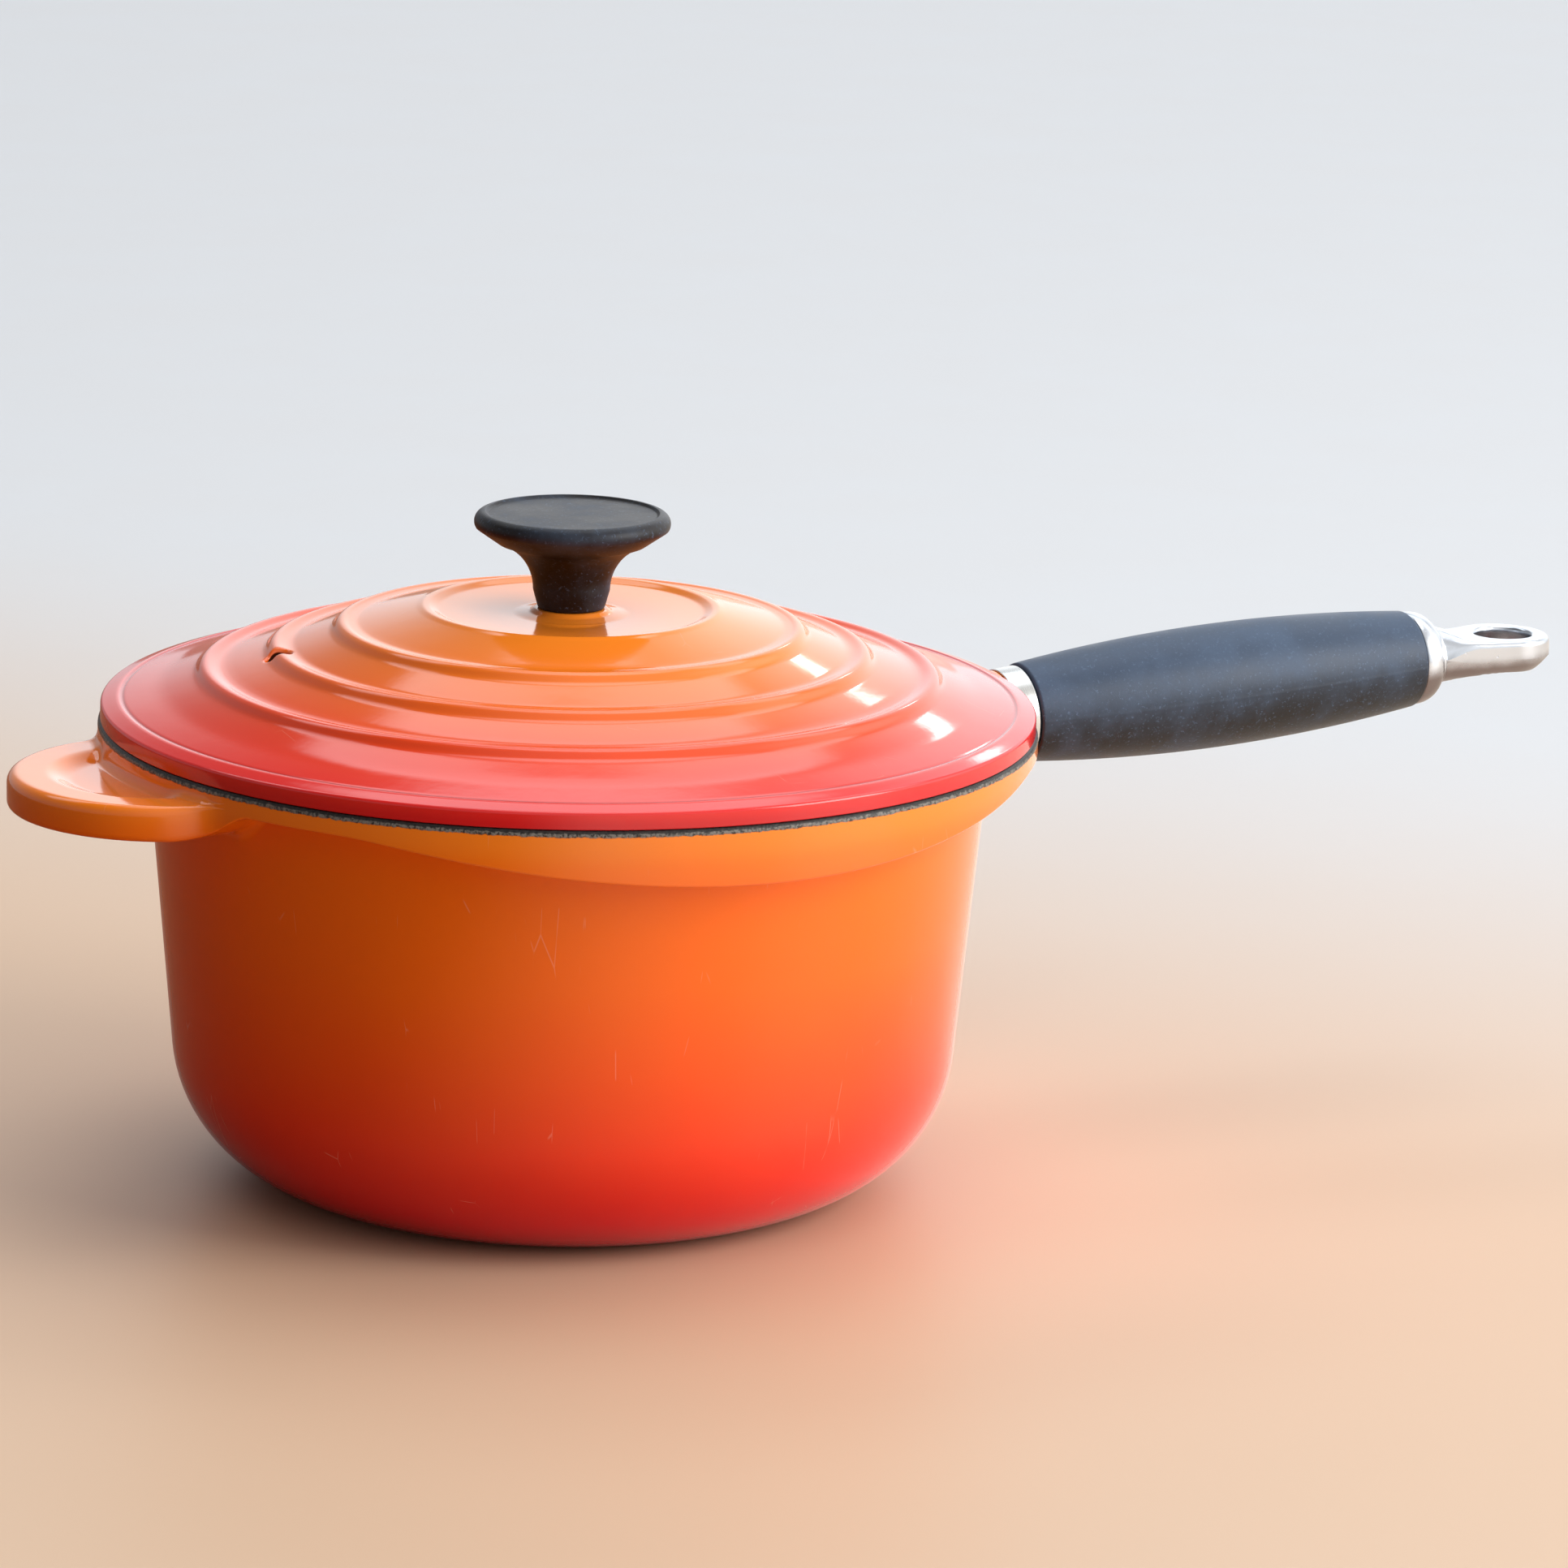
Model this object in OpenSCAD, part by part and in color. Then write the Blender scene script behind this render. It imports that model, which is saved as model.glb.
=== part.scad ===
// Lidded cast iron saucepan with a concealed pour lip on each side, a helper tab and a long handle.
// Millimetres, +Z up. The origin is the middle of the base, on the table; the handle runs along +X.

/* [Pot] */
// Height of the rim above the table
pot_h = 107.5; // [85:0.5:140]
// Inner radius of the wall just below the mouth
mouth_r = 92.4; // [75:0.1:120]
// Thickness of the cast wall
wall_t = 4; // [2.5:0.1:6]
// Thickness of the floor at its middle
floor_t = 5; // [3:0.1:8]
// Angle by which the wall leans out
wall_draft = 5; // [2:0.1:8]
// Radius of the corner between wall and base
corner_r = 34; // [20:0.5:42]
// Depth of the hollow under the base, inside its foot ring
base_hollow = 0.8; // [0.3:0.1:1.5]
// Width of the foot ring
foot_w = 5; // [3:0.5:10]

/* [Rim band] */
// How far the rim band stands out of the wall
band_out = 11; // [7:0.1:14]
// Height of the band beside the helper tab
band_low_h = 5.1; // [4:0.1:6]
// Height of the band at its deepest, under the pour lips
band_deep_h = 13.6; // [10:0.1:18]
// Radius of the long arc that the band's lower edge follows, seen from the side
band_arc_r = 404; // [380:1:800]
// Shift of the band's deepest point towards the handle
band_shift = 0; // [-8:0.5:15]
// Rounding of the band's upper outer edge
band_round = 1.6; // [0.5:0.1:2.5]
// Width of the flat ground land that the lid rests on
land_w = 9; // [5:0.1:10]
// Depth of the flare inside the mouth
flare_h = 6; // [4:0.5:10]

/* [Pour lips] */
// Radius of each pour channel
lip_r = 22; // [14:1:30]
// Slope of the channel's floor
lip_slope = 31; // [20:1:40]
// Metal left between the channel and the band's outer face
lip_wall = 3.6; // [2.5:0.1:6]

/* [Helper tab] */
// Reach of the tab beyond the rim band
tab_reach = 26.7; // [18:0.1:36]
// Radius of the tab's outline
tab_r = 34.8; // [28:0.1:42]
// Thickness of the tab
tab_t = 7.9; // [5:0.1:10]
// Drop of the tab's top below the rim
tab_drop = 4.2; // [3:0.1:8]
// Width of the raised border round the dish
tab_border = 11; // [7:0.5:16]
// Depth of the dish
dish_depth = 1.8; // [0.8:0.1:3]
// Rounding of the tab's upper edge
tab_round = 2.2; // [1:0.1:2.4]
// Rounding of the tab's lower edge
tab_round_low = 1.4; // [0.8:0.1:2.4]
// Radius of the fillets where the tab meets the band
tab_fillet = 9; // [5:0.5:14]

/* [Lid] */
// Gap between the lid and the rim it rests on
lid_gap = 0.3; // [0.2:0.05:0.5]
// How far the lid's edge stays inside the band's outer face
lid_inset = 0.5; // [0:0.1:2]
// Height of the lid's outer edge
lid_edge_h = 4; // [3.2:0.1:6]
// Thickness of the lid's casting
lid_t = 4; // [3:0.1:5]
// Width of the flat rim strip outside the first slope
lid_rim_w = 7.6; // [6.5:0.1:10]
// Radius of the outer ring's crest
ring1_r = 83; // [80:0.5:86]
// Radius of the middle ring's crest
ring2_r = 67.1; // [62:0.5:72]
// Radius of the inner ring's crest
ring3_r = 52.1; // [47:0.5:57]
// Radius of the centre disc's edge
disc_r = 33.1; // [26:0.5:38]
// Rise from the lid's rim to the outer ring
rise1 = 8; // [5:0.1:10]
// Rise from the outer ring to the middle ring
rise2 = 4.8; // [3:0.1:7]
// Rise from the middle ring to the inner ring
rise3 = 5.2; // [3:0.1:7]
// Rise from the inner ring to the disc's edge
rise4 = 3.8; // [3:0.1:7]
// Width of a ring
ring_w = 4; // [3:0.1:6]
// Height of a ring's outer riser
ring_riser = 2.1; // [0.8:0.1:2.4]
// Drop behind a ring's crest
ring_dip = 0.4; // [0.2:0.1:0.8]
// Height of the step at the centre disc's edge
disc_step = 0.5; // [0.3:0.1:1.4]
// Depth of the centre disc's dish
disc_dip = 1.7; // [1:0.1:2.5]
// Radius of the boss under the knob
boss_r = 8.9; // [8.2:0.1:12]
// Width of the boss's sloping foot
boss_foot = 4; // [2:0.1:6]
// Radial clearance of the locating ring inside the mouth
locate_gap = 0.8; // [0.4:0.1:1.5]
// Depth of the locating ring below the rim
locate_h = 5; // [3:0.5:8]
// Thickness of the locating ring
locate_t = 3.6; // [2.5:0.1:5]
// Radius of the steam vent
vent_r = 2.7; // [1.5:0.1:3]
// Angle of the vent from the handle
vent_angle = 165.6; // [0:0.1:360]

/* [Knob] */
// Height of the knob
knob_h = 22.2; // [19:0.1:28]
// Outer radius of the knob
knob_r = 22.4; // [19:0.1:26]
// Radius of the knob's foot
knob_foot_r = 7.6; // [6.8:0.1:8.2]
// Radius of the knob's neck, below the flare
knob_neck_r = 8.8; // [8.6:0.1:11]
// Radius of the hollow flare under the knob
knob_flare_r = 11.2; // [9.5:0.1:12]
// Rise of the straight lip between the flare and the rim
knob_lip = 2.6; // [1:0.05:3]
// Radius of the rounded rim
knob_round = 2.4; // [1.5:0.05:2.4]
// Width of the rim round the sunk top
knob_border = 2.9; // [2.2:0.1:5]
// Depth of the sunk top
knob_sink = 0.5; // [0.2:0.1:1]
// Radius of the brass insert
insert_r = 4.5; // [3.8:0.1:5.5]
// Length of the brass insert
insert_len = 13; // [9:0.5:15]

/* [Knob screw] */
// Radius of the screw's shank
screw_r = 2.5; // [2:0.1:3]
// Length of the shank inside the insert
screw_grip = 9; // [6:0.5:12]
// Radius of the screw's head
head_r = 4.9; // [4.2:0.1:5.5]
// Height of the screw's head
head_h = 3; // [2:0.1:4]
// Radius of the washer
washer_r = 6.4; // [5.7:0.1:8]
// Thickness of the washer
washer_t = 1; // [0.6:0.1:1.6]
// Radial clearance of the screw in the lid and the washer
screw_gap = 0.3; // [0.1:0.05:0.6]

/* [Handle] */
// Drop of the handle's axis below the rim, where it leaves the band
handle_drop = 8.9; // [6:0.1:14]
// Upward tilt of the handle
handle_tilt = 2.6; // [0:0.1:8]
// Length of the lug outside the band
lug_len = 4; // [3:0.1:8]
// Radius of the lug's end
lug_r = 10.8; // [9.5:0.1:12]
// Depth of the tapped hole in the lug
lug_thread = 11; // [8:0.5:12]
// Length of the ferrule
ferrule_len = 6.2; // [4:0.1:12]
// Radius of the ferrule against the grip
ferrule_r = 11.3; // [10.5:0.1:12.2]
// Length of the grip
grip_len = 106.1; // [85:0.1:130]
// Radius of the grip at each end
grip_end_r = 11.7; // [11.5:0.1:14]
// Radius of the grip at its middle
grip_mid_r = 14.8; // [14.4:0.1:19]
// Rounding of the grip's end edges
grip_round = 0.6; // [0.5:0.1:2]
// Radius of the spigots that centre the grip
spigot_r = 8; // [6.5:0.1:9]
// Length of each spigot
spigot_len = 4; // [2:0.1:8]
// Radius of the tie rod
rod_r = 3; // [2.5:0.1:4]
// Radial clearance of the rod in the grip and the ferrule
rod_gap = 0.4; // [0.2:0.05:0.8]

/* [Hanging eye] */
// Length of the collar's straight part
collar_len = 1.5; // [1.5:0.1:5]
// Radius of the collar against the grip
collar_r = 11.3; // [10.5:0.1:12]
// Length of the collar's dome
dome_len = 5.2; // [5:0.1:10]
// Radius of the neck behind the collar
neck_r = 7.1; // [6:0.1:8.5]
// Width of the small bead where the neck begins
neck_bead = 1.1; // [0.8:0.1:1.5]
// Length over which the neck flattens
neck_taper = 9; // [6:0.5:11]
// Distance from the neck's start to the middle of the hole
eye_reach = 21.4; // [17:0.1:26]
// Outer radius of the eye
eye_r = 11.4; // [11.3:0.1:13]
// Radius of the hanging hole
hole_r = 6.9; // [5:0.1:7]
// Height of the eye above the handle's axis
eye_top = 3.5; // [3.5:0.1:5]
// Depth of the eye below the handle's axis
eye_under = 4.9; // [4:0.1:6]
// Bevel round the eye's underside
eye_bevel = 3.5; // [1:0.1:3.5]
// Small chamfer at the eye's upper edge and round the hole
eye_edge = 0.8; // [0.3:0.1:0.9]
// Length of the rod inside the eye
eye_thread = 6; // [4:0.5:8]

/* [Hidden] */

$fn = 96;
fit_gap = 0.05;                    // radial clearance of a spigot, a moulded insert or a thread
thread_end = 0.4;                  // room beyond the end of a threaded piece
flank_inset = 0.15;                // the neck's flanks run into the eye this far inside its outline
cone_out = 1.5;                    // the cone that rounds the neck is this much wider at the eye
far = 400;                         // reach of a cutting tool

wall_top_r = mouth_r + wall_t;     // outer radius of the wall just below the mouth
rim_r = wall_top_r + band_out;     // outer radius of the band
mouth_z = pot_h - flare_h;         // height at which the flare starts
base_r = wall_top_r - mouth_z * tan(wall_draft);          // outer wall carried down to the table
land_in_r = rim_r - land_w;        // inner radius of the ground land
tab_x = rim_r + tab_reach - tab_r; // distance of the tab's centre from the pot's axis
tab_top = pot_h - tab_drop;
dish_r = tab_r - tab_border;

lid_z = pot_h + lid_gap;           // height of the lid's seat
lid_r = rim_r - lid_inset;
slope_r = lid_r - lid_rim_w;       // where the outer slope starts
crest1 = lid_edge_h + rise1;       // heights of the crests above the lid's seat
crest2 = crest1 + rise2;
crest3 = crest2 + rise3;
crest4 = crest3 + rise4;
boss_h = crest4 - 0.4;             // top of the boss, just under the disc's edge
bead_r = 1;                        // rounding of a ring's crest
locate_r = mouth_r - locate_gap;
locate_low = -locate_h - lid_gap;                         // foot of the locating ring
slope_tan = (crest1 - ring_riser - lid_edge_h) / (slope_r - ring1_r - ring_w / 2);
under_slope = lid_edge_h + (slope_r - locate_r + locate_t) * slope_tan - lid_t * 1.08;
under_boss = boss_h - disc_dip - lid_t;                   // flat underside that the washer bears on

handle_z = pot_h - handle_drop;    // height of the handle's axis at the band
lug_end = lug_len;                 // places along the handle's axis, from the band's face
grip_start = lug_end + ferrule_len;
grip_end = grip_start + grip_len;
neck_start = grip_end + collar_len + dome_len;
hole_at = neck_start + eye_reach;
rod_end = neck_start + eye_thread - thread_end;

// Half of a cup's section: a wall of base radius r0 leaning out by the draft, with a round corner of
// radius rc, up to the height h.
module cup_section(r0, rc, h) {
    cx = r0 + rc * tan(wall_draft) - rc / cos(wall_draft);
    polygon([[0, 0], [cx, 0], [cx, rc],
             [cx + rc * cos(wall_draft), rc * (1 - sin(wall_draft))],
             [r0 + h * tan(wall_draft), h], [0, h]]);
    intersection() {
        translate([cx, rc]) circle(r = rc);
        translate([cx, 0]) square([rc, rc]);
    }
}

// A rectangle with its two outer corners rounded, from the axis out to r, between z0 and z1.
module rounded_disc_section(r, z0, z1, round_low, round_high) {
    polygon([[0, z0], [r - round_low, z0], [r, z0 + round_low], [r, z1 - round_high],
             [r - round_high, z1], [0, z1]]);
    translate([r - round_low, z0 + round_low]) circle(r = round_low);
    translate([r - round_high, z1 - round_high]) circle(r = round_high);
}

// The space inside the pot, with the flare and the mouth above it.
module cavity() {
    lift = floor_t;
    inner_base = base_r - wall_t / cos(wall_draft) + lift * tan(wall_draft);
    rotate_extrude() {
        translate([0, lift]) cup_section(inner_base, corner_r - wall_t, mouth_z - lift);
        polygon([[0, mouth_z - 1], [mouth_r - 1, mouth_z - 1], [mouth_r, mouth_z], [land_in_r, pot_h],
                 [land_in_r, pot_h + 1], [0, pot_h + 1]]);
    }
}

// One pour channel, cut through the land from inside; it ends lip_wall short of the band's face.
module pour_channel() {
    run = (rim_r - lip_wall - mouth_r) / cos(lip_slope);
    translate([0, rim_r - lip_wall, pot_h]) rotate([lip_slope, 0, 0])
        translate([0, lip_wall, lip_r]) rotate([90, 0, 0]) cylinder(r = lip_r, h = lip_wall + run + 2);
}

// The band round the rim: a low ring, deepened under the pour lips along a long arc.
module rim_band() {
    rotate_extrude() rounded_disc_section(rim_r, pot_h - band_low_h, pot_h, 0.6, band_round);
    intersection() {
        rotate_extrude() rounded_disc_section(rim_r, pot_h - band_deep_h - 1, pot_h, 0.6, band_round);
        translate([band_shift, 0, pot_h - band_deep_h + band_arc_r])
            rotate([90, 0, 0]) cylinder(r = band_arc_r, h = 3 * rim_r, center = true, $fn = 360);
    }
}

// The concave corner between the tab's round outline and the band, on one side.
module tab_corner() {
    ra = rim_r + tab_fillet;
    rb = tab_r + tab_fillet;
    x = (ra * ra - rb * rb + tab_x * tab_x) / (2 * tab_x);
    y = sqrt(ra * ra - x * x);
    difference() {
        polygon([[x * rim_r / ra, y * rim_r / ra],
                 [tab_x + (x - tab_x) * tab_r / rb, y * tab_r / rb],
                 [tab_x, 0], [0, 0], [tab_x - tab_reach, y * 0.8]]);
        translate([x, y]) circle(r = tab_fillet);
    }
}

module helper_tab() {
    difference() {
        union() {
            translate([-tab_x, 0, 0]) rotate_extrude()
                rounded_disc_section(tab_r, tab_top - tab_t, tab_top, tab_round_low, tab_round);
            for (side = [-1, 1]) scale([-1, side, 1])
                translate([0, 0, tab_top - tab_t + 0.6]) linear_extrude(tab_t - 1.2) tab_corner();
        }
        difference() {
            translate([-tab_x, 0, tab_top - dish_depth]) rotate_extrude()
                polygon([[0, 0], [dish_r - 2.5, 0], [dish_r, dish_depth], [dish_r, far], [0, far]]);
            cylinder(r1 = rim_r + tab_top, r2 = rim_r, h = tab_top);
            cylinder(r = rim_r, h = far);
        }
    }
}

// Everything on the handle is drawn along x, from the band's face outwards.
module on_handle() {
    translate([rim_r, 0, handle_z]) rotate([0, -handle_tilt, 0]) children();
}

// Turns a section given as [radius, place along the handle].
module turned() {
    on_handle() rotate([0, 90, 0]) rotate_extrude() children();
}

module handle_lug() {
    root = band_out + wall_t;      // the lug grows out of the wall behind the band
    turned() polygon([[0, -root], [lug_r + 8, -root], [lug_r + 4.2, -root * 0.62], [lug_r + 1.8, -root * 0.3],
                      [lug_r + 0.6, 0], [lug_r, lug_end], [0, lug_end]]);
}

module pot_body() {
    color("orangered") difference() {
        union() {
            rotate_extrude() cup_section(base_r, corner_r, pot_h - 1);
            rim_band();
            helper_tab();
            handle_lug();
        }
        cavity();
        for (side = [0, 180]) rotate([0, 0, side]) pour_channel();
        translate([0, 0, pot_h]) cylinder(r = rim_r + 0.4, h = lug_r * 2);
        turned() translate([0, lug_end - lug_thread]) square([rod_r + fit_gap, lug_thread + 1]);
        translate([0, 0, -1]) cylinder(r = foot_in_r(), h = 1 + base_hollow);
    }
}

// Inner radius of the foot ring, from the flat part of the base.
function foot_in_r() = base_r + corner_r * tan(wall_draft) - corner_r / cos(wall_draft) - foot_w;

module handle_ferrule() {
    color("silver") turned() difference() {
        union() {
            polygon([[0, lug_end], [lug_r + 0.2, lug_end], [ferrule_r, grip_start], [0, grip_start]]);
            translate([0, grip_start - 1]) square([spigot_r, spigot_len + 1]);
        }
        translate([0, lug_end - 1]) square([rod_r + rod_gap, ferrule_len + spigot_len + 2]);
    }
}

// The grip's side is one arc through its middle radius and its two end radii.
module handle_grip() {
    bulge = grip_mid_r - grip_end_r;
    side_r = (grip_len * grip_len / 4 + bulge * bulge) / (2 * bulge);
    color("dimgray") turned() difference() {
        intersection() {
            translate([grip_mid_r - side_r, (grip_start + grip_end) / 2]) circle(r = side_r, $fn = 720);
            polygon([[0, grip_start], [grip_end_r - grip_round, grip_start],
                     [grip_end_r - 0.05, grip_start + grip_round], [grip_mid_r + 1, grip_start + grip_round],
                     [grip_mid_r + 1, grip_end - grip_round], [grip_end_r - 0.05, grip_end - grip_round],
                     [grip_end_r - grip_round, grip_end], [0, grip_end]]);
        }
        translate([0, grip_start - 1]) square([rod_r + rod_gap, grip_len + 2]);
        translate([0, grip_start - 1]) square([spigot_r + fit_gap, spigot_len + 1 + thread_end]);
        translate([0, grip_end - spigot_len - thread_end])
            square([spigot_r + fit_gap, spigot_len + 1 + thread_end]);
    }
}

// Section of the flattened eye: a flat top, and an underside bevelled all round.
module eye_section() {
    polygon([[0, -eye_under], [eye_r - eye_bevel, -eye_under], [eye_r, eye_bevel - eye_under],
             [eye_r, eye_top - eye_edge], [eye_r - eye_edge, eye_top], [0, eye_top]]);
}

// The neck: round behind the collar, then flattening and widening until its flanks run into the eye.
module eye_neck() {
    flank_r = eye_r - flank_inset;
    lean = asin((flank_r - neck_r) / eye_reach);
    touch_x = hole_at - flank_r * sin(lean);
    touch_y = flank_r * cos(lean);
    intersection() {
        translate([0, 0, -far / 2]) linear_extrude(far)
            polygon([[neck_start, -neck_r], [touch_x, -touch_y], [hole_at, 0], [touch_x, touch_y],
                     [neck_start, neck_r]]);
        rotate([90, 0, 0]) linear_extrude(far, center = true)
            polygon([[neck_start, -neck_r], [neck_start + neck_taper, -eye_under], [hole_at, -eye_under],
                     [hole_at, eye_top], [neck_start + neck_taper, eye_top], [neck_start, neck_r]]);
        rotate([0, 90, 0]) rotate_extrude()
            polygon([[0, neck_start], [neck_r, neck_start], [eye_r + cone_out, touch_x],
                     [eye_r + cone_out, hole_at], [0, hole_at]]);
    }
}

module hanging_eye() {
    color("gainsboro") difference() {
        union() {
            turned() {
                translate([0, grip_end - spigot_len]) square([spigot_r, spigot_len + 1]);
                translate([0, grip_end]) square([collar_r, collar_len]);
                intersection() {
                    translate([collar_r - dome_len, grip_end + collar_len]) circle(r = dome_len);
                    translate([0, grip_end]) square([far, far]);
                }
                translate([0, grip_end]) square([neck_r, collar_len + dome_len]);
                translate([neck_r, neck_start]) circle(r = neck_bead);
                translate([0, neck_start - neck_bead]) square([neck_r, 2 * neck_bead]);
            }
            on_handle() {
                eye_neck();
                translate([hole_at, 0, 0]) rotate_extrude() eye_section();
            }
        }
        on_handle() translate([hole_at, 0, 0]) {
            translate([0, 0, -far / 2]) cylinder(r = hole_r, h = far);
            for (end = [[eye_top, 0], [-eye_under, 180]])
                translate([0, 0, end[0]]) rotate([end[1], 0, 0]) translate([0, 0, -eye_edge])
                    cylinder(r1 = hole_r, r2 = hole_r + 2 * eye_edge, h = 2 * eye_edge);
        }
        turned() translate([0, grip_end - spigot_len - 1])
            square([rod_r + fit_gap, spigot_len + 1 + collar_len + dome_len + eye_thread]);
    }
}

module tie_rod() {
    color("lightslategray") turned()
        translate([0, lug_end - lug_thread + thread_end])
            square([rod_r, rod_end - (lug_end - lug_thread + thread_end)]);
}

// One ring: the points of its outer riser, its crest and the drop behind it.
function ring_points(r, crest) = [
    [r + ring_w / 2, crest - ring_riser],
    [r + bead_r * 0.9, crest - bead_r * 0.5],
    [r - bead_r * 0.5, crest - 0.15],
    [r - ring_w / 2, crest - ring_dip]];

module lid_section() {
    difference() {
        union() {
            polygon(concat(
                [[0, -2], [lid_r - 0.5, -2], [lid_r - 0.5, 0], [lid_r, 0.5], [lid_r, lid_edge_h - 1.4],
                 [lid_r - 1.7, lid_edge_h], [lid_r - 3.6, lid_edge_h - 0.6], [slope_r, lid_edge_h]],
                ring_points(ring1_r, crest1), ring_points(ring2_r, crest2), ring_points(ring3_r, crest3),
                [[disc_r + 1.6, crest4 - disc_step], [disc_r, crest4], [disc_r - 5, crest4 - disc_dip + 0.3],
                 [boss_r + boss_foot, crest4 - disc_dip], [boss_r + 1, boss_h - 0.7], [boss_r, boss_h],
                 [0, boss_h]]));
            translate([lid_r - 1.7, lid_edge_h - 1.6]) circle(r = 1.7);
            translate([slope_r + 1.9, lid_edge_h - 1.4]) circle(r = 1.6);
            for (ring = [[ring1_r, crest1], [ring2_r, crest2], [ring3_r, crest3], [disc_r, crest4]])
                translate([ring[0], ring[1] - bead_r]) circle(r = bead_r);
        }
        polygon([[0, -3], [far, -3], [far, 0], [locate_r, 0],
                 [locate_r - locate_t, under_slope],
                 [ring1_r, crest1 - ring_riser - lid_t + 0.3], [ring2_r, crest2 - ring_riser - lid_t + 0.3],
                 [ring3_r, crest3 - ring_riser - lid_t + 0.3],
                 [disc_r, crest4 - disc_dip - lid_t], [washer_r + 3, under_boss], [0, under_boss]]);
    }
    // the locating ring hangs down inside the mouth
    polygon([[locate_r - locate_t - 1.5, under_slope + 1], [locate_r - locate_t, locate_low + 1],
             [locate_r - locate_t + 1, locate_low], [locate_r - 1, locate_low], [locate_r, locate_low + 1],
             [locate_r, under_slope + 1]]);
}

module lid() {
    color("tomato") translate([0, 0, lid_z]) difference() {
        rotate_extrude() lid_section();
        cylinder(r = screw_r + screw_gap, h = far);
        rotate([0, 0, vent_angle]) translate([ring2_r, 0, 0]) cylinder(r = vent_r, h = far);
    }
}

module knob_section() {
    flare_x = knob_neck_r + knob_flare_r;
    rim_x = knob_r - knob_round;
    rim_z = knob_h - knob_round;
    lip_low = rim_z - knob_round * cos(30);              // where the straight lip meets the rim
    flare_top = lip_low - knob_lip;
    flare_z = flare_top - knob_flare_r * cos(15);
    flare_end = flare_x - knob_flare_r * sin(15);
    difference() {
        union() {
            polygon([[0, 0], [knob_foot_r - 0.6, 0], [knob_foot_r, 0.6], [knob_neck_r, flare_z],
                     [flare_end, flare_z], [flare_end, flare_top], [rim_x + knob_round * sin(30), lip_low],
                     [rim_x, knob_h], [0, knob_h]]);
            translate([rim_x, rim_z]) circle(r = knob_round);
        }
        translate([flare_x, flare_z]) intersection() {
            circle(r = knob_flare_r);
            translate([-knob_flare_r, 0]) square(knob_flare_r * 2);
        }
        translate([0, knob_h - knob_sink]) square([knob_r - knob_border, far]);
    }
}

module knob() {
    color("dimgray") translate([0, 0, lid_z + boss_h]) difference() {
        rotate_extrude() knob_section();
        translate([0, 0, -1]) cylinder(r = insert_r + fit_gap, h = insert_len + 1);
    }
}

module knob_insert() {
    color("goldenrod") translate([0, 0, lid_z + boss_h]) difference() {
        cylinder(r = insert_r, h = insert_len);
        translate([0, 0, -1]) cylinder(r = screw_r + fit_gap, h = screw_grip + thread_end + 1);
    }
}

module knob_washer() {
    color("lightgray") translate([0, 0, lid_z + under_boss - washer_t]) difference() {
        cylinder(r = washer_r, h = washer_t);
        translate([0, 0, -1]) cylinder(r = screw_r + screw_gap, h = washer_t + 2);
    }
}

module knob_screw() {
    head_top = under_boss - washer_t;
    color("silver") translate([0, 0, lid_z]) difference() {
        union() {
            translate([0, 0, head_top - 1]) cylinder(r = screw_r, h = boss_h + screw_grip - head_top + 1);
            translate([0, 0, head_top]) mirror([0, 0, 1]) rotate_extrude()
                polygon([[0, 0], [head_r, 0], [head_r, head_h * 0.5], [head_r * 0.72, head_h], [0, head_h]]);
        }
        translate([-far / 2, -0.6, head_top - head_h - 1]) cube([far, 1.2, 2.2]);
    }
}

pot_body();
handle_ferrule();
handle_grip();
hanging_eye();
tie_rod();
lid();
knob();
knob_insert();
knob_screw();
knob_washer();
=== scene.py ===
import math

import bpy
import numpy as np
from mathutils import Matrix


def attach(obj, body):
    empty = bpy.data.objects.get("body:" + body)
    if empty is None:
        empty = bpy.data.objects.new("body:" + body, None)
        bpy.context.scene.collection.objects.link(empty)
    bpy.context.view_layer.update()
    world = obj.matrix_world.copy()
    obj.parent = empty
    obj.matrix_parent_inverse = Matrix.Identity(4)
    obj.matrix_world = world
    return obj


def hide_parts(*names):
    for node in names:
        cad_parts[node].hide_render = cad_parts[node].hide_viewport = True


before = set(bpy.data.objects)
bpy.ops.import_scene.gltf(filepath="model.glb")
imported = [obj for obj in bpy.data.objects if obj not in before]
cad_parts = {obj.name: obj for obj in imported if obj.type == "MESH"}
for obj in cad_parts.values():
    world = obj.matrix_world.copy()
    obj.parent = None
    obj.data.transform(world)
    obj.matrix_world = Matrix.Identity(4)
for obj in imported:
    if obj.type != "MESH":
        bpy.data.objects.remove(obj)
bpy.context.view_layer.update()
print("frame loaded with", len(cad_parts), "nodes")

mm = 0.001  # sizes are in millimetres, and a mesh is in metres


# camera

cameraSetting = {"distance": 1538.8, "height": 464.8, "turn": 25, "pan": 0.0322, "tilt": 0.2372, "roll": 0.0253,
                 "lens": 158.4}


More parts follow.
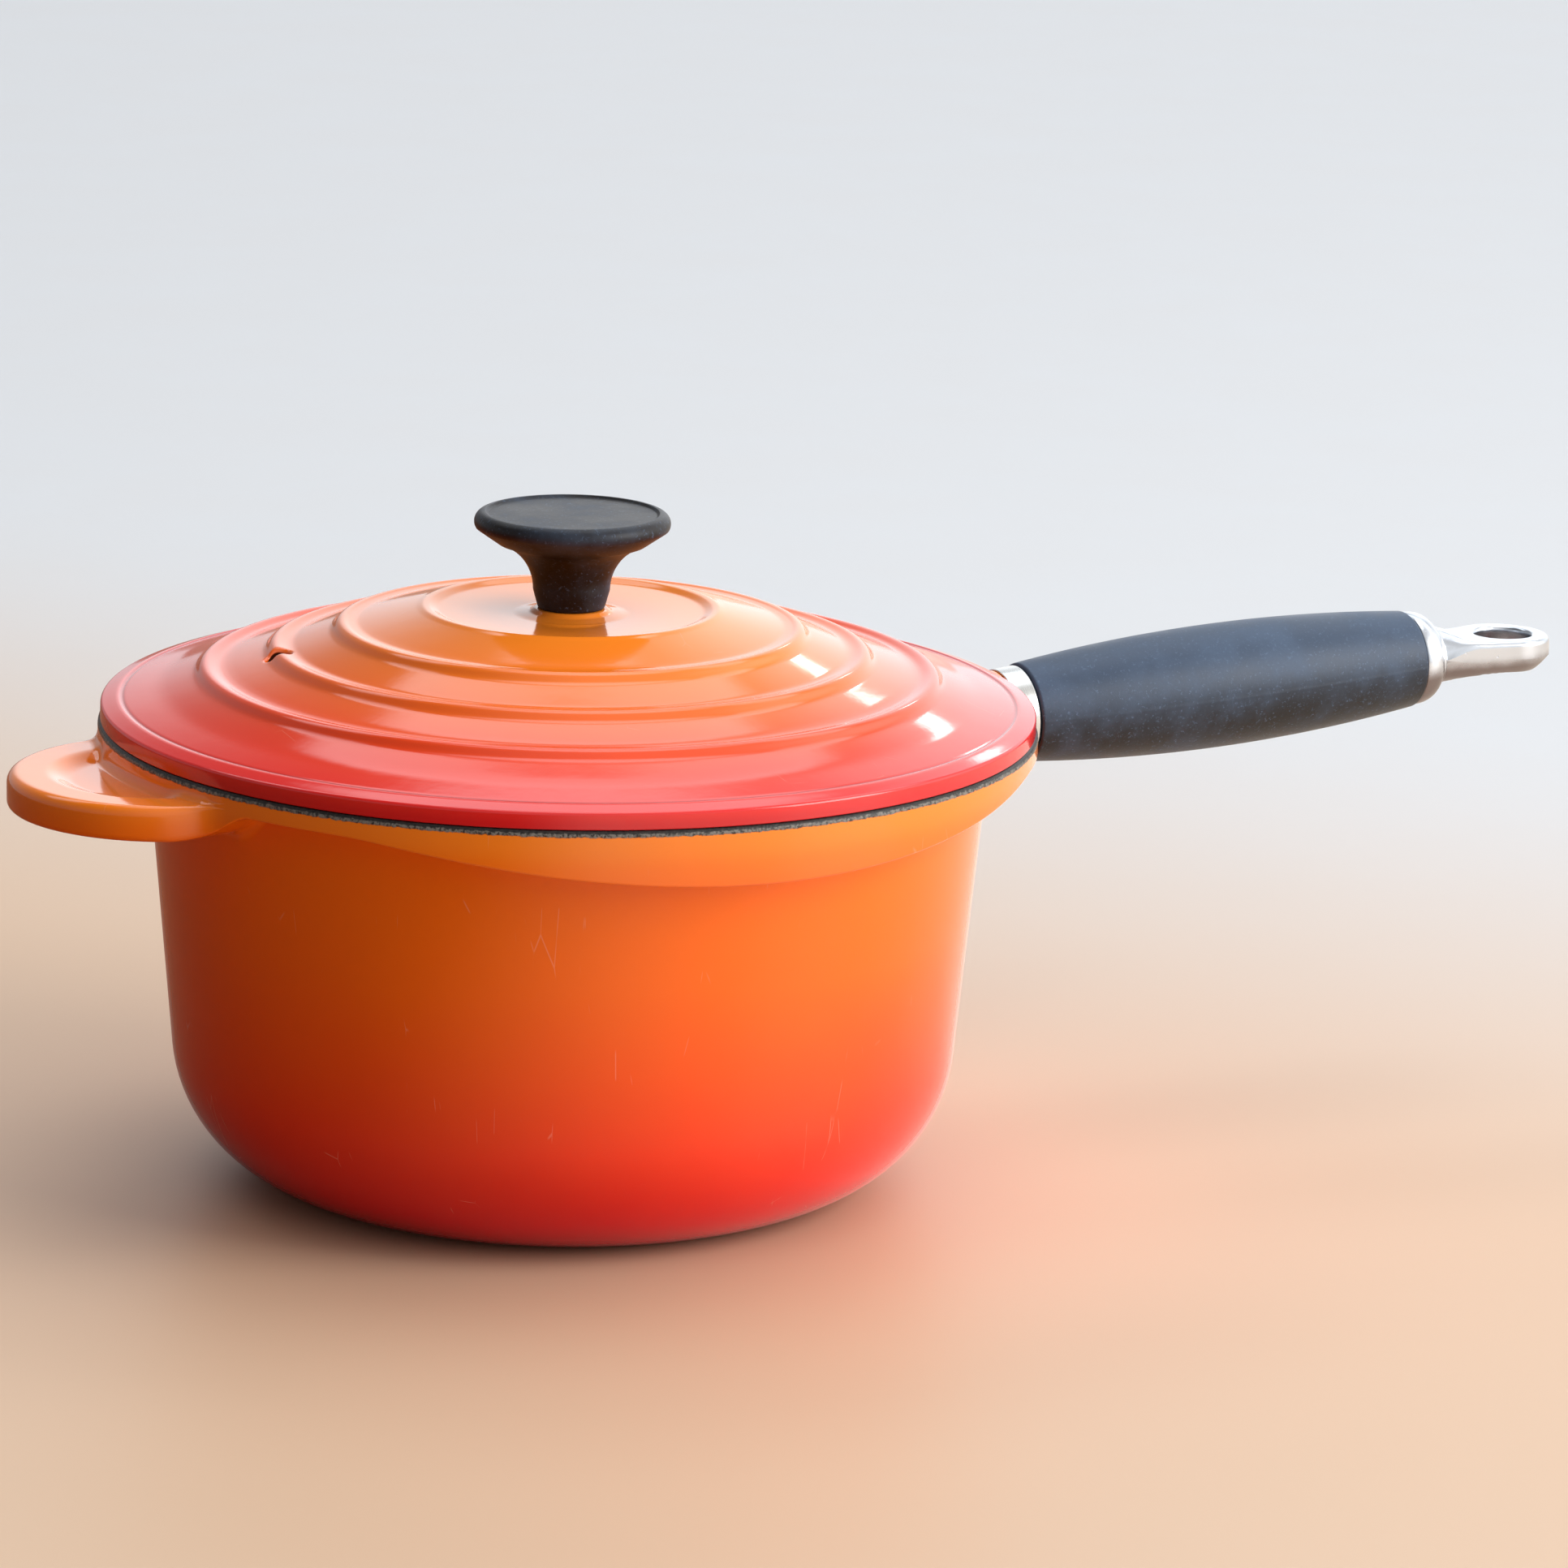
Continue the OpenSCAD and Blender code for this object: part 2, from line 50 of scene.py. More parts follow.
def addCamera(v):  # the camera looks level along +Y, is panned, tilted and rolled, then swung round the pot by turn
    turn = math.radians(v["turn"])
    pan, tilt, roll = v["pan"], v["tilt"], v["roll"]
    ahead = np.array([math.sin(pan) * math.cos(tilt), math.cos(pan) * math.cos(tilt), -math.sin(tilt)])
    right = np.array([math.cos(pan), -math.sin(pan), 0.0])
    up = np.cross(right, ahead)
    across = math.cos(roll) * right + math.sin(roll) * up
    above = math.cos(roll) * up - math.sin(roll) * right
    swing = np.array(Matrix.Rotation(-turn, 3, "Z"))
    data = bpy.data.cameras.new("mainCamera")
    data.lens, data.sensor_width = v["lens"], 36
    data.clip_start, data.clip_end = 0.05, 50
    camera = bpy.data.objects.new("mainCamera", data)
    bpy.context.scene.collection.objects.link(camera)
    place = np.eye(4)
    place[:3, :3] = swing @ np.stack([across, above, -ahead], axis=1)
    place[:3, 3] = swing @ np.array([0, -v["distance"], v["height"]]) * mm
    camera.matrix_world = Matrix(place.tolist())
    bpy.context.scene.camera = camera


addCamera(cameraSetting)
print("camera placed")


# shader helpers

def linear(red, green, blue):  # a screen colour from 0 to 255, as the shader's linear colour
    c = np.array([red, green, blue]) / 255
    c = np.where(c <= 0.04045, c / 12.92, ((c + 0.055) / 1.055) ** 2.4)
    return (float(c[0]), float(c[1]), float(c[2]), 1.0)


def darker(colour, share):
    return tuple(c * share for c in colour[:3]) + (1.0,)


class Wire:  # a node's output; sums and products of wires and numbers add Math nodes
    def __init__(self, tree, socket):
        self.tree = tree
        self.socket = socket

    def feed(self, socket, value):
        if isinstance(value, Wire):
            self.tree.links.new(value.socket, socket)
        else:
            socket.default_value = value

    def node(self, kind, settings=None, inputs=None, out=0):  # any other node
        made = self.tree.nodes.new(kind)
        for key, value in (settings or {}).items():
            if key == "stops":  # a colour ramp's places and colours
                stops = made.color_ramp.elements
                while len(stops) < len(value):
                    stops.new(0.5)
                for stop, (place, colour) in zip(stops, value):
                    stop.position, stop.color = place, colour
            else:
                setattr(made, key, value)
        for key, value in (inputs or {}).items():
            self.feed(made.inputs[key], value)
        return Wire(self.tree, made.outputs[out])

    def maths(self, operation, *values):
        made = self.tree.nodes.new("ShaderNodeMath")
        made.operation = operation
        for socket, value in zip(made.inputs, values):
            self.feed(socket, value)
        return Wire(self.tree, made.outputs[0])

    def __add__(self, other):
        return self.maths("ADD", self, other)

    def __radd__(self, other):
        return self.maths("ADD", other, self)

    def __sub__(self, other):
        return self.maths("SUBTRACT", self, other)

    def __rsub__(self, other):
        return self.maths("SUBTRACT", other, self)

    def __mul__(self, other):
        return self.maths("MULTIPLY", self, other)

    def __rmul__(self, other):
        return self.maths("MULTIPLY", other, self)

    def __truediv__(self, other):
        return self.maths("DIVIDE", self, other)

    def __pow__(self, other):
        return self.maths("POWER", self, other)

    def split(self):  # a vector's three parts
        first = self.node("ShaderNodeSeparateXYZ", {}, {0: self})
        return [Wire(self.tree, socket) for socket in first.socket.node.outputs]

    def step(self, low, high, first=0.0, last=1.0):  # rises smoothly from first to last between low and high
        return self.node("ShaderNodeMapRange", {"interpolation_type": "SMOOTHSTEP"},
                         {"Value": self, "From Min": low, "From Max": high, "To Min": first, "To Max": last})

    def ramp(self, stops):  # a colour that changes along this value, from the first stop's to the last one's
        low, high = stops[0][0], stops[-1][0]
        place = self.node("ShaderNodeMapRange", {}, {"Value": self, "From Min": low, "From Max": high})
        made = [((at - low) / (high - low), colour) for at, colour in stops]
        return self.node("ShaderNodeValToRGB", {"stops": made}, {"Fac": place})

    def mix(self, first, second):  # from the first colour to the second as this value goes from 0 to 1
        return self.node("ShaderNodeMix", {"data_type": "RGBA"}, {0: self, 6: first, 7: second}, out=2)


class Finish:  # a new material with one main shader
    def __init__(self, name, **constants):
        self.material = bpy.data.materials.new(name)
        self.material.use_nodes = True
        tree = self.material.node_tree
        tree.nodes.clear()
        self.start = Wire(tree, None)
        shader = self.start.node("ShaderNodeBsdfPrincipled", {}, constants).socket
        self.inputs = shader.node.inputs
        tree.links.new(shader, tree.nodes.new("ShaderNodeOutputMaterial").inputs[0])
        self.place = self.start.node("ShaderNodeTexCoord", out="Object")

    def put(self, socket, value):
        self.start.feed(self.inputs[socket], value)

    def axes(self):  # the three coordinates, in millimetres
        return [part * (1 / mm) for part in self.place.split()]

    def attribute(self, name):  # a value that the mesh holds at its points
        return self.start.node("ShaderNodeAttribute", {"attribute_name": name}, out="Fac")

    def moved(self, rotation, scale):  # the place, turned and stretched
        return self.start.node("ShaderNodeMapping", {}, {"Vector": self.place, "Rotation": rotation, "Scale": scale})

    def noise(self, size, detail, roughness, vector=None):  # from 0 to 1, with blotches of that size in millimetres
        return self.start.node("ShaderNodeTexNoise", {}, {"Vector": vector or self.place, "Scale": 1 / mm / size,
                                                          "Detail": detail, "Roughness": roughness})

    def uneven(self, value, amount, size, detail, roughness):  # the value with noise added, of that amount in all
        return value + (self.noise(size, detail, roughness) - 0.5) * amount

    def cells(self, size, feature="F1", vector=None):  # distance in a pattern of cells of that size in millimetres
        return self.start.node("ShaderNodeTexVoronoi", {"feature": feature},
                               {"Vector": vector or self.place, "Scale": 1 / mm / size})

    def bump(self, height, depth):  # height from 0 to 1 stands for depth in millimetres
        self.put("Normal", self.start.node("ShaderNodeBump", {}, {"Height": height, "Distance": depth * mm}))


# enamel

# peel is the fine unevenness of the glaze and pool the wide one; bump is the depth of a height of 1
enamelLook = {"roughness": 0.09, "peelSize": 2.6, "peelDepth": 0.012, "poolSize": 14, "poolDepth": 0.05, "bump": 0.1}


def scratches(finish, size, turn, density):  # thin broken hairlines that run roughly one way
    lined = finish.moved(rotation=turn, scale=(1, 1, 0.12))
    edge = finish.cells(size, "DISTANCE_TO_EDGE", lined)
    here = finish.noise(size * 2.2, 2, 0.6).step(density, density + 0.06)
    return edge.step(0.012, 0.0) * here


def enamelBump(finish, look, extra):  # the glaze's two kinds of unevenness, and the bare iron's own
    peel = finish.noise(look["peelSize"], 2, 0.55) * (look["peelDepth"] / look["bump"])
    pool = finish.noise(look["poolSize"], 1, 0.4) * (look["poolDepth"] / look["bump"])
    finish.bump(peel + pool + extra, look["bump"])


potColours = {
    "wall": [(0, linear(186, 2, 8)), (10, linear(216, 12, 14)), (29, linear(237, 58, 24)),
             (48, linear(242, 84, 20)), (67, linear(243, 102, 16)), (90, linear(243, 111, 14))],
    "band": [(92, linear(238, 100, 8)), (100, linear(242, 114, 10)), (106, linear(244, 124, 14))],
    "inside": linear(233, 222, 200), "iron": linear(122, 117, 110), "dark": linear(38, 34, 31),
    # after rust comes the painted shade of the rim under the lid's edge
    "rust": linear(112, 78, 58), "lidEdgeShade": linear(20, 17, 17), "thin": linear(250, 150, 50),
    "stain": linear(214, 196, 168), "scratch": linear(250, 190, 160),
}

# where the pot's finish and the painted shade under the lid's edge change: along is the distance past the band's upper
# edge, inwards
potZones = {"lean": math.tan(math.radians(5)), "wallFoot": 87.5, "bandOut": (1.0, 4.0), "bandUp": (84, 90),
            "thinOut": (9.0, 10.6), "thinUp": (98, 104), "ironFrom": (-0.15, 0.15), "ironTo": (10.6, 10.1),
            "insideFrom": (10.1, 10.5), "lidShadeFrom": (0.6, 0.95), "lidShadeTo": (3.4, 2.6)}


def potEnamel(look, colours, zones):  # the wall's colours by height, the band's, bare iron on the rim, pale inside
    f = Finish("potEnamel", **{"IOR": 1.54, "Specular IOR Level": 0.28, "Coat IOR": 1.5, "Coat Roughness": 0.06})
    x, y, z = f.axes()
    radius = (x * x + y * y) ** 0.5
    blotch = f.noise(38, 3, 0.55) - 0.5
    drift = z + blotch * 9
    wall = drift.ramp(colours["wall"])
    band = (z + blotch * 5).ramp(colours["band"])
    proud = radius - z * zones["lean"] - zones["wallFoot"]  # how far a point stands out of the wall
    outside = proud.step(*zones["bandOut"]) * z.step(*zones["bandUp"])
    enamel = outside.mix(wall, band)
    thin = proud.step(*zones["thinOut"]) * z.step(*zones["thinUp"])  # pulled thin over an edge, it is a little paler
    enamel = (thin * 0.2).mix(enamel, colours["thin"])
    ragged = f.uneven(f.attribute("along"), 0.9, 1.3, 3, 0.6)
    iron = ragged.step(*zones["ironFrom"]) * ragged.step(*zones["ironTo"])
    inside = ragged.step(*zones["insideFrom"])
    grain = f.noise(0.8, 3, 0.65)
    ironColour = (f.noise(6, 3, 0.6).step(0.55, 0.75) * 0.4).mix(colours["iron"], colours["rust"])
    ironColour = grain.step(0.36, 0.6).mix(colours["dark"], ironColour)
    lidShade = ragged.step(*zones["lidShadeFrom"]) * ragged.step(*zones["lidShadeTo"])  # painted shade on the rim under the lid's edge
    ironColour = (lidShade * 0.92).mix(ironColour, colours["lidEdgeShade"])
    stain = f.noise(24, 4, 0.6).step(0.45, 0.8) * 0.35
    insideColour = stain.mix(colours["inside"], colours["stain"])
    colour = inside.mix(iron.mix(enamel, ironColour), insideColour)
    mark = scratches(f, 7, (0.5, 0.9, 0.4), 0.62) * (1 - iron)
    colour = (mark * 0.24).mix(colour, colours["scratch"])
    f.put("Base Color", colour)
    f.put("Roughness", look["roughness"] + iron * 0.3 + inside * 0.05 + mark * 0.05)
    f.put("Coat Weight", outside * (1 - iron) * 0.4)
    enamelBump(f, look, iron * grain * 1.6)
    return f.material


lidColours = {
    "top": [(0, linear(248, 138, 36)), (34, linear(248, 134, 36)), (52, linear(246, 122, 34)),
            (66, linear(245, 108, 34)), (80, linear(242, 84, 32)), (90, linear(238, 62, 28)),
            (98, linear(234, 50, 28)), (104, linear(230, 40, 30)), (107, linear(222, 30, 28))],
    "low": linear(204, 10, 22), "groove": linear(150, 14, 16), "under": linear(228, 216, 194),
    "iron": linear(46, 44, 43), "vent": linear(64, 28, 18), "scratch": linear(252, 200, 170),
}
lidRadius, grooveIn = 106.9, 4.95  # the lid's outline needs these too

# where the lid's finish changes: along is the distance past its lower outer edge, towards the underside
lidZones = {"groove": lidRadius - grooveIn, "ironFrom": (0.1, 0.5), "ironTo": (15.6, 15.0), "underFrom": (15.0, 15.6),
            "edgeUp": (108.0, 111.0)}


def lidEnamel(look, colours, zones):  # the top's colours by radius, bare iron at the seat, pale underneath
    f = Finish("lidEnamel", **{"IOR": 1.56})
    x, y, z = f.axes()
    radius = (x * x + y * y) ** 0.5
    top = f.uneven(radius, 7, 42, 3, 0.5).ramp(colours["top"])
    fromGroove = (radius - zones["groove"]) ** 2
    top = (fromGroove.step(0.6, 0.02) * 0.6).mix(top, colours["groove"])
    ragged = f.uneven(f.attribute("along"), 0.4, 1.6, 3, 0.6)
    iron = ragged.step(*zones["ironFrom"]) * ragged.step(*zones["ironTo"])
    under = ragged.step(*zones["underFrom"])
    top = z.step(*zones["edgeUp"]).mix(colours["low"], top)  # the outer edge is darker towards its foot
    colour = under.mix(iron.mix(top, colours["iron"]), colours["under"])
    colour = f.attribute("vent").mix(colour, colours["vent"])
    mark = scratches(f, 9, (0.3, 0.5, 1.1), 0.66) * (1 - iron)
    colour = (mark * 0.14).mix(colour, colours["scratch"])
    f.put("Base Color", colour)
    f.put("Roughness", look["roughness"] + iron * 0.3 + mark * 0.05)
    enamelBump(f, look, iron * f.noise(1.0, 3, 0.6) * 1.2)
    return f.material


# handle and knob finishes

# colour is the painted light of the upper side and low the painted shade below it; pale is the flecks' and clouds' own
# colour
phenolicLook = {"colour": linear(54, 70, 92), "low": linear(12, 8, 8), "pale": linear(96, 120, 152), "gloss": 0.34,
                "roughness": 0.42, "grainSize": 0.7, "grainDepth": 0.025}
knobLook = dict(phenolicLook, roughness=0.4, gloss=0.26, colour=linear(28, 31, 36), low=linear(16, 8, 8))


def heightOver(f, pivot):  # millimetres above a line through the pivot's x and z, which rises by its angle
    x, y, z = f.axes()
    return (z - pivot[1]) * math.cos(pivot[2]) - (x - pivot[0]) * math.sin(pivot[2])


def phenolicWithPaintedLight(name, look, pivot):  # painted light and shade: lighter and bluer above the pivot's line, where light falls from above, and darker below it
    f = Finish(name, **{"IOR": 1.52, "Specular IOR Level": look["gloss"]})
    cloud = f.noise(16, 4, 0.6)
    fleck = f.noise(0.8, 3, 0.7).step(0.56, 0.74)
    # painted light above the pivot's line, painted shade below it
    base = (heightOver(f, pivot) + (cloud - 0.5) * 6).step(-8, 10).mix(look["low"], look["colour"])
    colour = (fleck * 0.4).mix(base, look["pale"])
    colour = (cloud.step(0.4, 0.75) * 0.18).mix(colour, look["pale"])
    f.put("Base Color", colour)
    f.put("Roughness", look["roughness"] + cloud.step(0.35, 0.7) * 0.1)
    f.bump(f.noise(look["grainSize"], 3, 0.6) + f.noise(5, 2, 0.5) * 0.6, look["grainDepth"])
    return f.material


# hairlines that run round the piece's own axis, which is the handle's or an upright one
def brushedMetal(name, colour, roughness, lineSize, lineDepth, turn=(0, 0, 0), stretch=(0.02, 0.02, 1)):
    f = Finish(name, **{"Metallic": 1.0})
    lined = f.moved(rotation=turn, scale=stretch)
    line = f.noise(lineSize, 3, 0.6, lined)
    shade = f.noise(9, 3, 0.55)
    f.put("Base Color", (line * 0.5 + shade * 0.3).mix(colour, darker(colour, 0.72)))
    f.put("Roughness", roughness + line.step(0.3, 0.8) * 0.12)
    f.bump(line, lineDepth)
    return f.material


def castMetal(name, colour, roughness, shadedUnderColour, pivot):  # polished above the pivot's line; below it a little rougher, and darker, which is painted shade
    f = Finish(name, **{"Metallic": 1.0})
    under = f.uneven(heightOver(f, pivot), 2, 5, 3, 0.6).step(0.5, -3.5)
    wave = f.noise(7, 2, 0.5)
    pit = f.cells(2.4).step(0.16, 0.05) * f.noise(6, 2, 0.5).step(0.55, 0.65)
    shade = (wave.step(0.35, 0.75) * 0.35).mix(colour, darker(colour, 0.8))
    # painted shade: the colour below the pivot's line is darkened
    f.put("Base Color", (under * 0.85).mix(shade, shadedUnderColour))
    f.put("Roughness", roughness + f.noise(1.6, 4, 0.7) * 0.16 + pit * 0.2 + under * 0.1)
    f.bump(wave + f.noise(1.1, 3, 0.6) * 0.12 - pit * 0.3, 0.12)
    return f.material


handle = {"out": 107.4, "up": 98.6, "tilt": math.radians(2.6)}  # where the handle's axis starts, and its rise
handlePivot, knobPivot = (handle["out"], handle["up"], handle["tilt"]), (0, 158, 0)
alongHandle = {"turn": (0, handle["tilt"], 0), "stretch": (1, 0.02, 0.02)}
finishes = {
    "pot_enamel": potEnamel(enamelLook, potColours, potZones),
    "lid_enamel": lidEnamel(enamelLook, lidColours, lidZones),
    "grip_plastic": phenolicWithPaintedLight("gripPhenolic", phenolicLook, handlePivot),
    "knob_plastic": phenolicWithPaintedLight("knobPhenolic", knobLook, knobPivot),
    "ferrule_steel": brushedMetal("ferruleSteel", linear(214, 214, 212), 0.22, 0.25, 0.006, **alongHandle),
    # the eye's second colour is the painted shade of its underside
    "eye_aluminium": castMetal("eyeAluminium", linear(204, 209, 217), 0.14, linear(104, 86, 78), handlePivot),
    "rod_steel": brushedMetal("rodSteel", linear(170, 172, 176), 0.3, 0.4, 0.01, **alongHandle),
    "screw_steel": brushedMetal("screwSteel", linear(196, 196, 190), 0.28, 0.3, 0.01),
    "insert_brass": brushedMetal("insertBrass", linear(224, 190, 110), 0.25, 0.3, 0.01),
}
print("finishes made:", len(finishes))


# surface helpers; sizes in millimetres until a mesh is made

def paired(*parts):  # stacks coordinates of different shapes as the last axis of one array
    return np.stack(np.broadcast_arrays(*parts), axis=-1)


def smooth(t):  # 3tt - 2ttt between 0 and 1, and flat beyond
    t = np.clip(t, 0, 1)
    return t * t * (3 - 2 * t)


def quarter(count):  # angles over a quarter turn
    return np.linspace(0, math.pi / 2, count)


def travelled(radius, height):  # distance along each column of a grid, from its first row
    step = np.hypot(np.diff(radius, axis=0), np.diff(height, axis=0))
    return np.vstack([np.zeros((1, radius.shape[1])), np.cumsum(step, axis=0)])


def roundedOutline(corners, angleStep=9):  # a path of (x, y, radius) corners, each replaced by its arc
    path = np.array([c[:2] for c in corners], float)
    radii = [c[2] if len(c) > 2 else 0 for c in corners]
    sides = np.diff(path, axis=0)
    lengths = np.linalg.norm(sides, axis=1)
    sides = sides / lengths[:, None]
    halves = [math.pi / 2] + [math.acos(float(np.clip(-a @ b, -1, 1))) / 2 for a, b in zip(sides, sides[1:])]
    reach = [r / math.tan(half) if r else 0.0 for r, half in zip(radii, halves)] + [0.0]
    room = [0.94 * length / max(a + b, 1e-9) for length, a, b in zip(lengths, reach, reach[1:])]
    out = [path[0]]
    for i in range(1, len(path) - 1):
        here, half = path[i], halves[i]
        if reach[i] == 0 or half > math.pi / 2 - 0.01:
            out.append(here)
            continue
        used = reach[i] * min(1, room[i - 1], room[i])  # neighbouring arcs share a side that is too short for both
        radius = used * math.tan(half)
        a, b = -sides[i - 1], sides[i]
        middle = here + (a + b) / np.linalg.norm(a + b) * radius / math.sin(half)
        sweep = math.pi - 2 * half
        n = max(3, math.ceil(math.degrees(sweep) / angleStep))
        turn = np.sign(a[0] * b[1] - a[1] * b[0])
        angle = math.atan2(*(here + a * used - middle)[::-1]) - turn * np.linspace(0, sweep, n + 1)
        arc = middle + radius * paired(np.cos(angle), np.sin(angle))
        ease = 0.03 * min(lengths[i - 1], lengths[i])  # one more point beside each arc keeps the shading flat
        out += [here + a * (used + ease), *arc, here + b * (used + ease)]
    out.append(path[-1])
    return np.array(out)


def refined(outline, step):  # the same path with no stretch longer than step
    length = np.linalg.norm(np.diff(outline, axis=0), axis=1)
    parts = np.maximum(1, np.ceil(length / step)).astype(int)
    share = np.concatenate([np.arange(n) / n for n in parts])
    first = np.repeat(np.arange(len(parts)), parts)
    path = outline[first] + share[:, None] * (outline[first + 1] - outline[first])
    return np.vstack([path, outline[-1]])


def gridQuads(rows, columns, closed=False):  # quads of a grid whose columns run round, and whose rows may too
    r = np.arange(rows if closed else rows - 1)[:, None]
    c = np.arange(columns)[None, :]
    below, beside = (r + 1) % rows, (c + 1) % columns
    return paired(r * columns + c, r * columns + beside, below * columns + beside, below * columns + c).reshape(-1, 4)


def capped(points, rows, columns, poles):  # adds a pole point before the first row and after the last one
    quads = gridQuads(rows, columns)
    c = np.arange(columns)
    n = len(points)
    first = paired(n, (c + 1) % columns, c)
    last = paired(n + 1, (rows - 1) * columns + c, (rows - 1) * columns + (c + 1) % columns)
    return np.vstack([points, poles]), quads, np.vstack([first, last])


# makes the mesh with its finish, and hands it to the frame; layers are values that the finish reads at the points
def addPiece(name, points, quads, triangles=None, *, body, replaces, slot, layers=None):
    triangles = np.zeros((0, 3), int) if triangles is None else triangles
    used = np.unique(np.concatenate([quads.ravel(), triangles.ravel()]))  # points that no face uses are left out
    fresh = np.full(len(points), -1)
    fresh[used] = np.arange(len(used))
    points, quads, triangles = points[used], fresh[quads], fresh[triangles]
    fans = np.vstack([quads[:, [0, 1, 2]], quads[:, [0, 2, 3]], triangles])
    a, b, c = points[fans[:, 0]], points[fans[:, 1]], points[fans[:, 2]]
    if np.einsum("ij,ij->", a, np.cross(b, c)) < 0:  # a negative volume means that the faces point inwards
        quads, triangles = quads[:, ::-1], triangles[:, ::-1]
    mesh = bpy.data.meshes.new(name)
    mesh.vertices.add(len(points))
    mesh.vertices.foreach_set("co", (points * mm).astype(np.float32).ravel())
    loops = np.concatenate([quads.ravel(), triangles.ravel()]).astype(np.int32)
    starts = np.concatenate([np.arange(len(quads)) * 4, len(quads) * 4 + np.arange(len(triangles)) * 3])
    mesh.loops.add(len(loops))
    mesh.loops.foreach_set("vertex_index", loops)
    mesh.polygons.add(len(starts))
    mesh.polygons.foreach_set("loop_start", starts.astype(np.int32))
    mesh.update(calc_edges=True)
    mesh.shade_smooth()
    for key, values in (layers or {}).items():
        layer = mesh.attributes.new(key, "FLOAT", "POINT")
        layer.data.foreach_set("value", values[used].astype(np.float32))
    mesh.materials.append(finishes[slot])
    piece = bpy.data.objects.new(name, mesh)
    bpy.context.scene.collection.objects.link(piece)
    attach(piece, body)
    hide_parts(*replaces)
    print("made", name, "with", len(starts), "faces")


# a revolve of (radius, height) rows: closed by poles if it starts on the axis, and joined end to end if it doesn't
def turned(name, outline, place, turns, **facts):
    angle = np.linspace(0, 2 * math.pi, turns, endpoint=False)
    opened = outline[0, 0] < 1e-6
    rows = outline[1:-1] if opened else outline
    r, h = rows[:, :1], rows[:, 1:]
    points = paired(r * np.cos(angle), r * np.sin(angle), h).reshape(-1, 3)
    if opened:
        poles = np.array([[0, 0, outline[0, 1]], [0, 0, outline[-1, 1]]])
        points, quads, triangles = capped(points, len(rows), turns, poles)
    else:
        quads, triangles = gridQuads(len(rows), turns, True), None
    addPiece(name, place(points), quads, triangles, **facts)


def onHandle(points):  # from (x, y, z) with z along the handle, to the pan's frame
    tilt = handle["tilt"]
    along, side, above = points[:, 2], points[:, 1], -points[:, 0]
    return paired(handle["out"] + along * math.cos(tilt) - above * math.sin(tilt), side,
                  handle["up"] + along * math.sin(tilt) + above * math.cos(tilt))


def lifted(height):  # stands a revolve on the pot's axis at that height
    return lambda points: points + np.array([0, 0, height])


# pot

pot = {"height": 107.5, "mouth": 92.4, "wall": 4, "floor": 5, "draft": 5, "corner": 34, "hollow": 0.8, "foot": 5,
       "band": 11, "lowBand": 5.1, "deepBand": 13.6, "bandArc": 404, "bandBlend": 2.2, "upperRound": 1.6,
       "lowerRound": 0.6, "cove": 1.6, "plainTop": 80, "land": 9, "landRound": 1.2, "flare": 6, "mouthRound": 2.5,
       "mouthDeep": 3.4, "lipRadius": 22, "lipSlope": 31, "lipWall": 3.6, "lipSoft": 0.7, "lipLow": 2.6}
tab = {"reach": 26.7, "radius": 34.8, "thick": 7.9, "drop": 4.2, "border": 11, "dish": 1.8, "dishOut": 2.6,
       "dishSlope": 6.4, "round": 2.4, "lowerRound": 1.5, "fillet": 9, "cove": 2.2, "under": 4, "turn": 25, "fade": 9}


def tabReach(fromTab, rim):  # ray from the pot's axis to the tab's round outline, or to the fillet beside it
    centre = rim + tab["reach"] - tab["radius"]
    sine, cosine = np.sin(fromTab), np.cos(fromTab)
    outer = centre * cosine + np.sqrt(np.maximum(tab["radius"] ** 2 - (centre * sine) ** 2, 0))
    a, b = rim + tab["fillet"], tab["radius"] + tab["fillet"]
    x = (a * a - b * b + centre * centre) / (2 * centre)
    y = math.sqrt(a * a - x * x)
    away, at = math.hypot(x, y), math.atan2(y, x)
    meet = math.atan2(y * tab["radius"] / b, centre + (x - centre) * tab["radius"] / b)
    turn = fromTab - at
    inner = away * np.cos(turn) - np.sqrt(np.maximum(tab["fillet"] ** 2 - (away * np.sin(turn)) ** 2, 0))
    reach = np.where(fromTab < meet, outer, np.where(fromTab < at, inner, rim))
    return np.maximum(reach, rim)


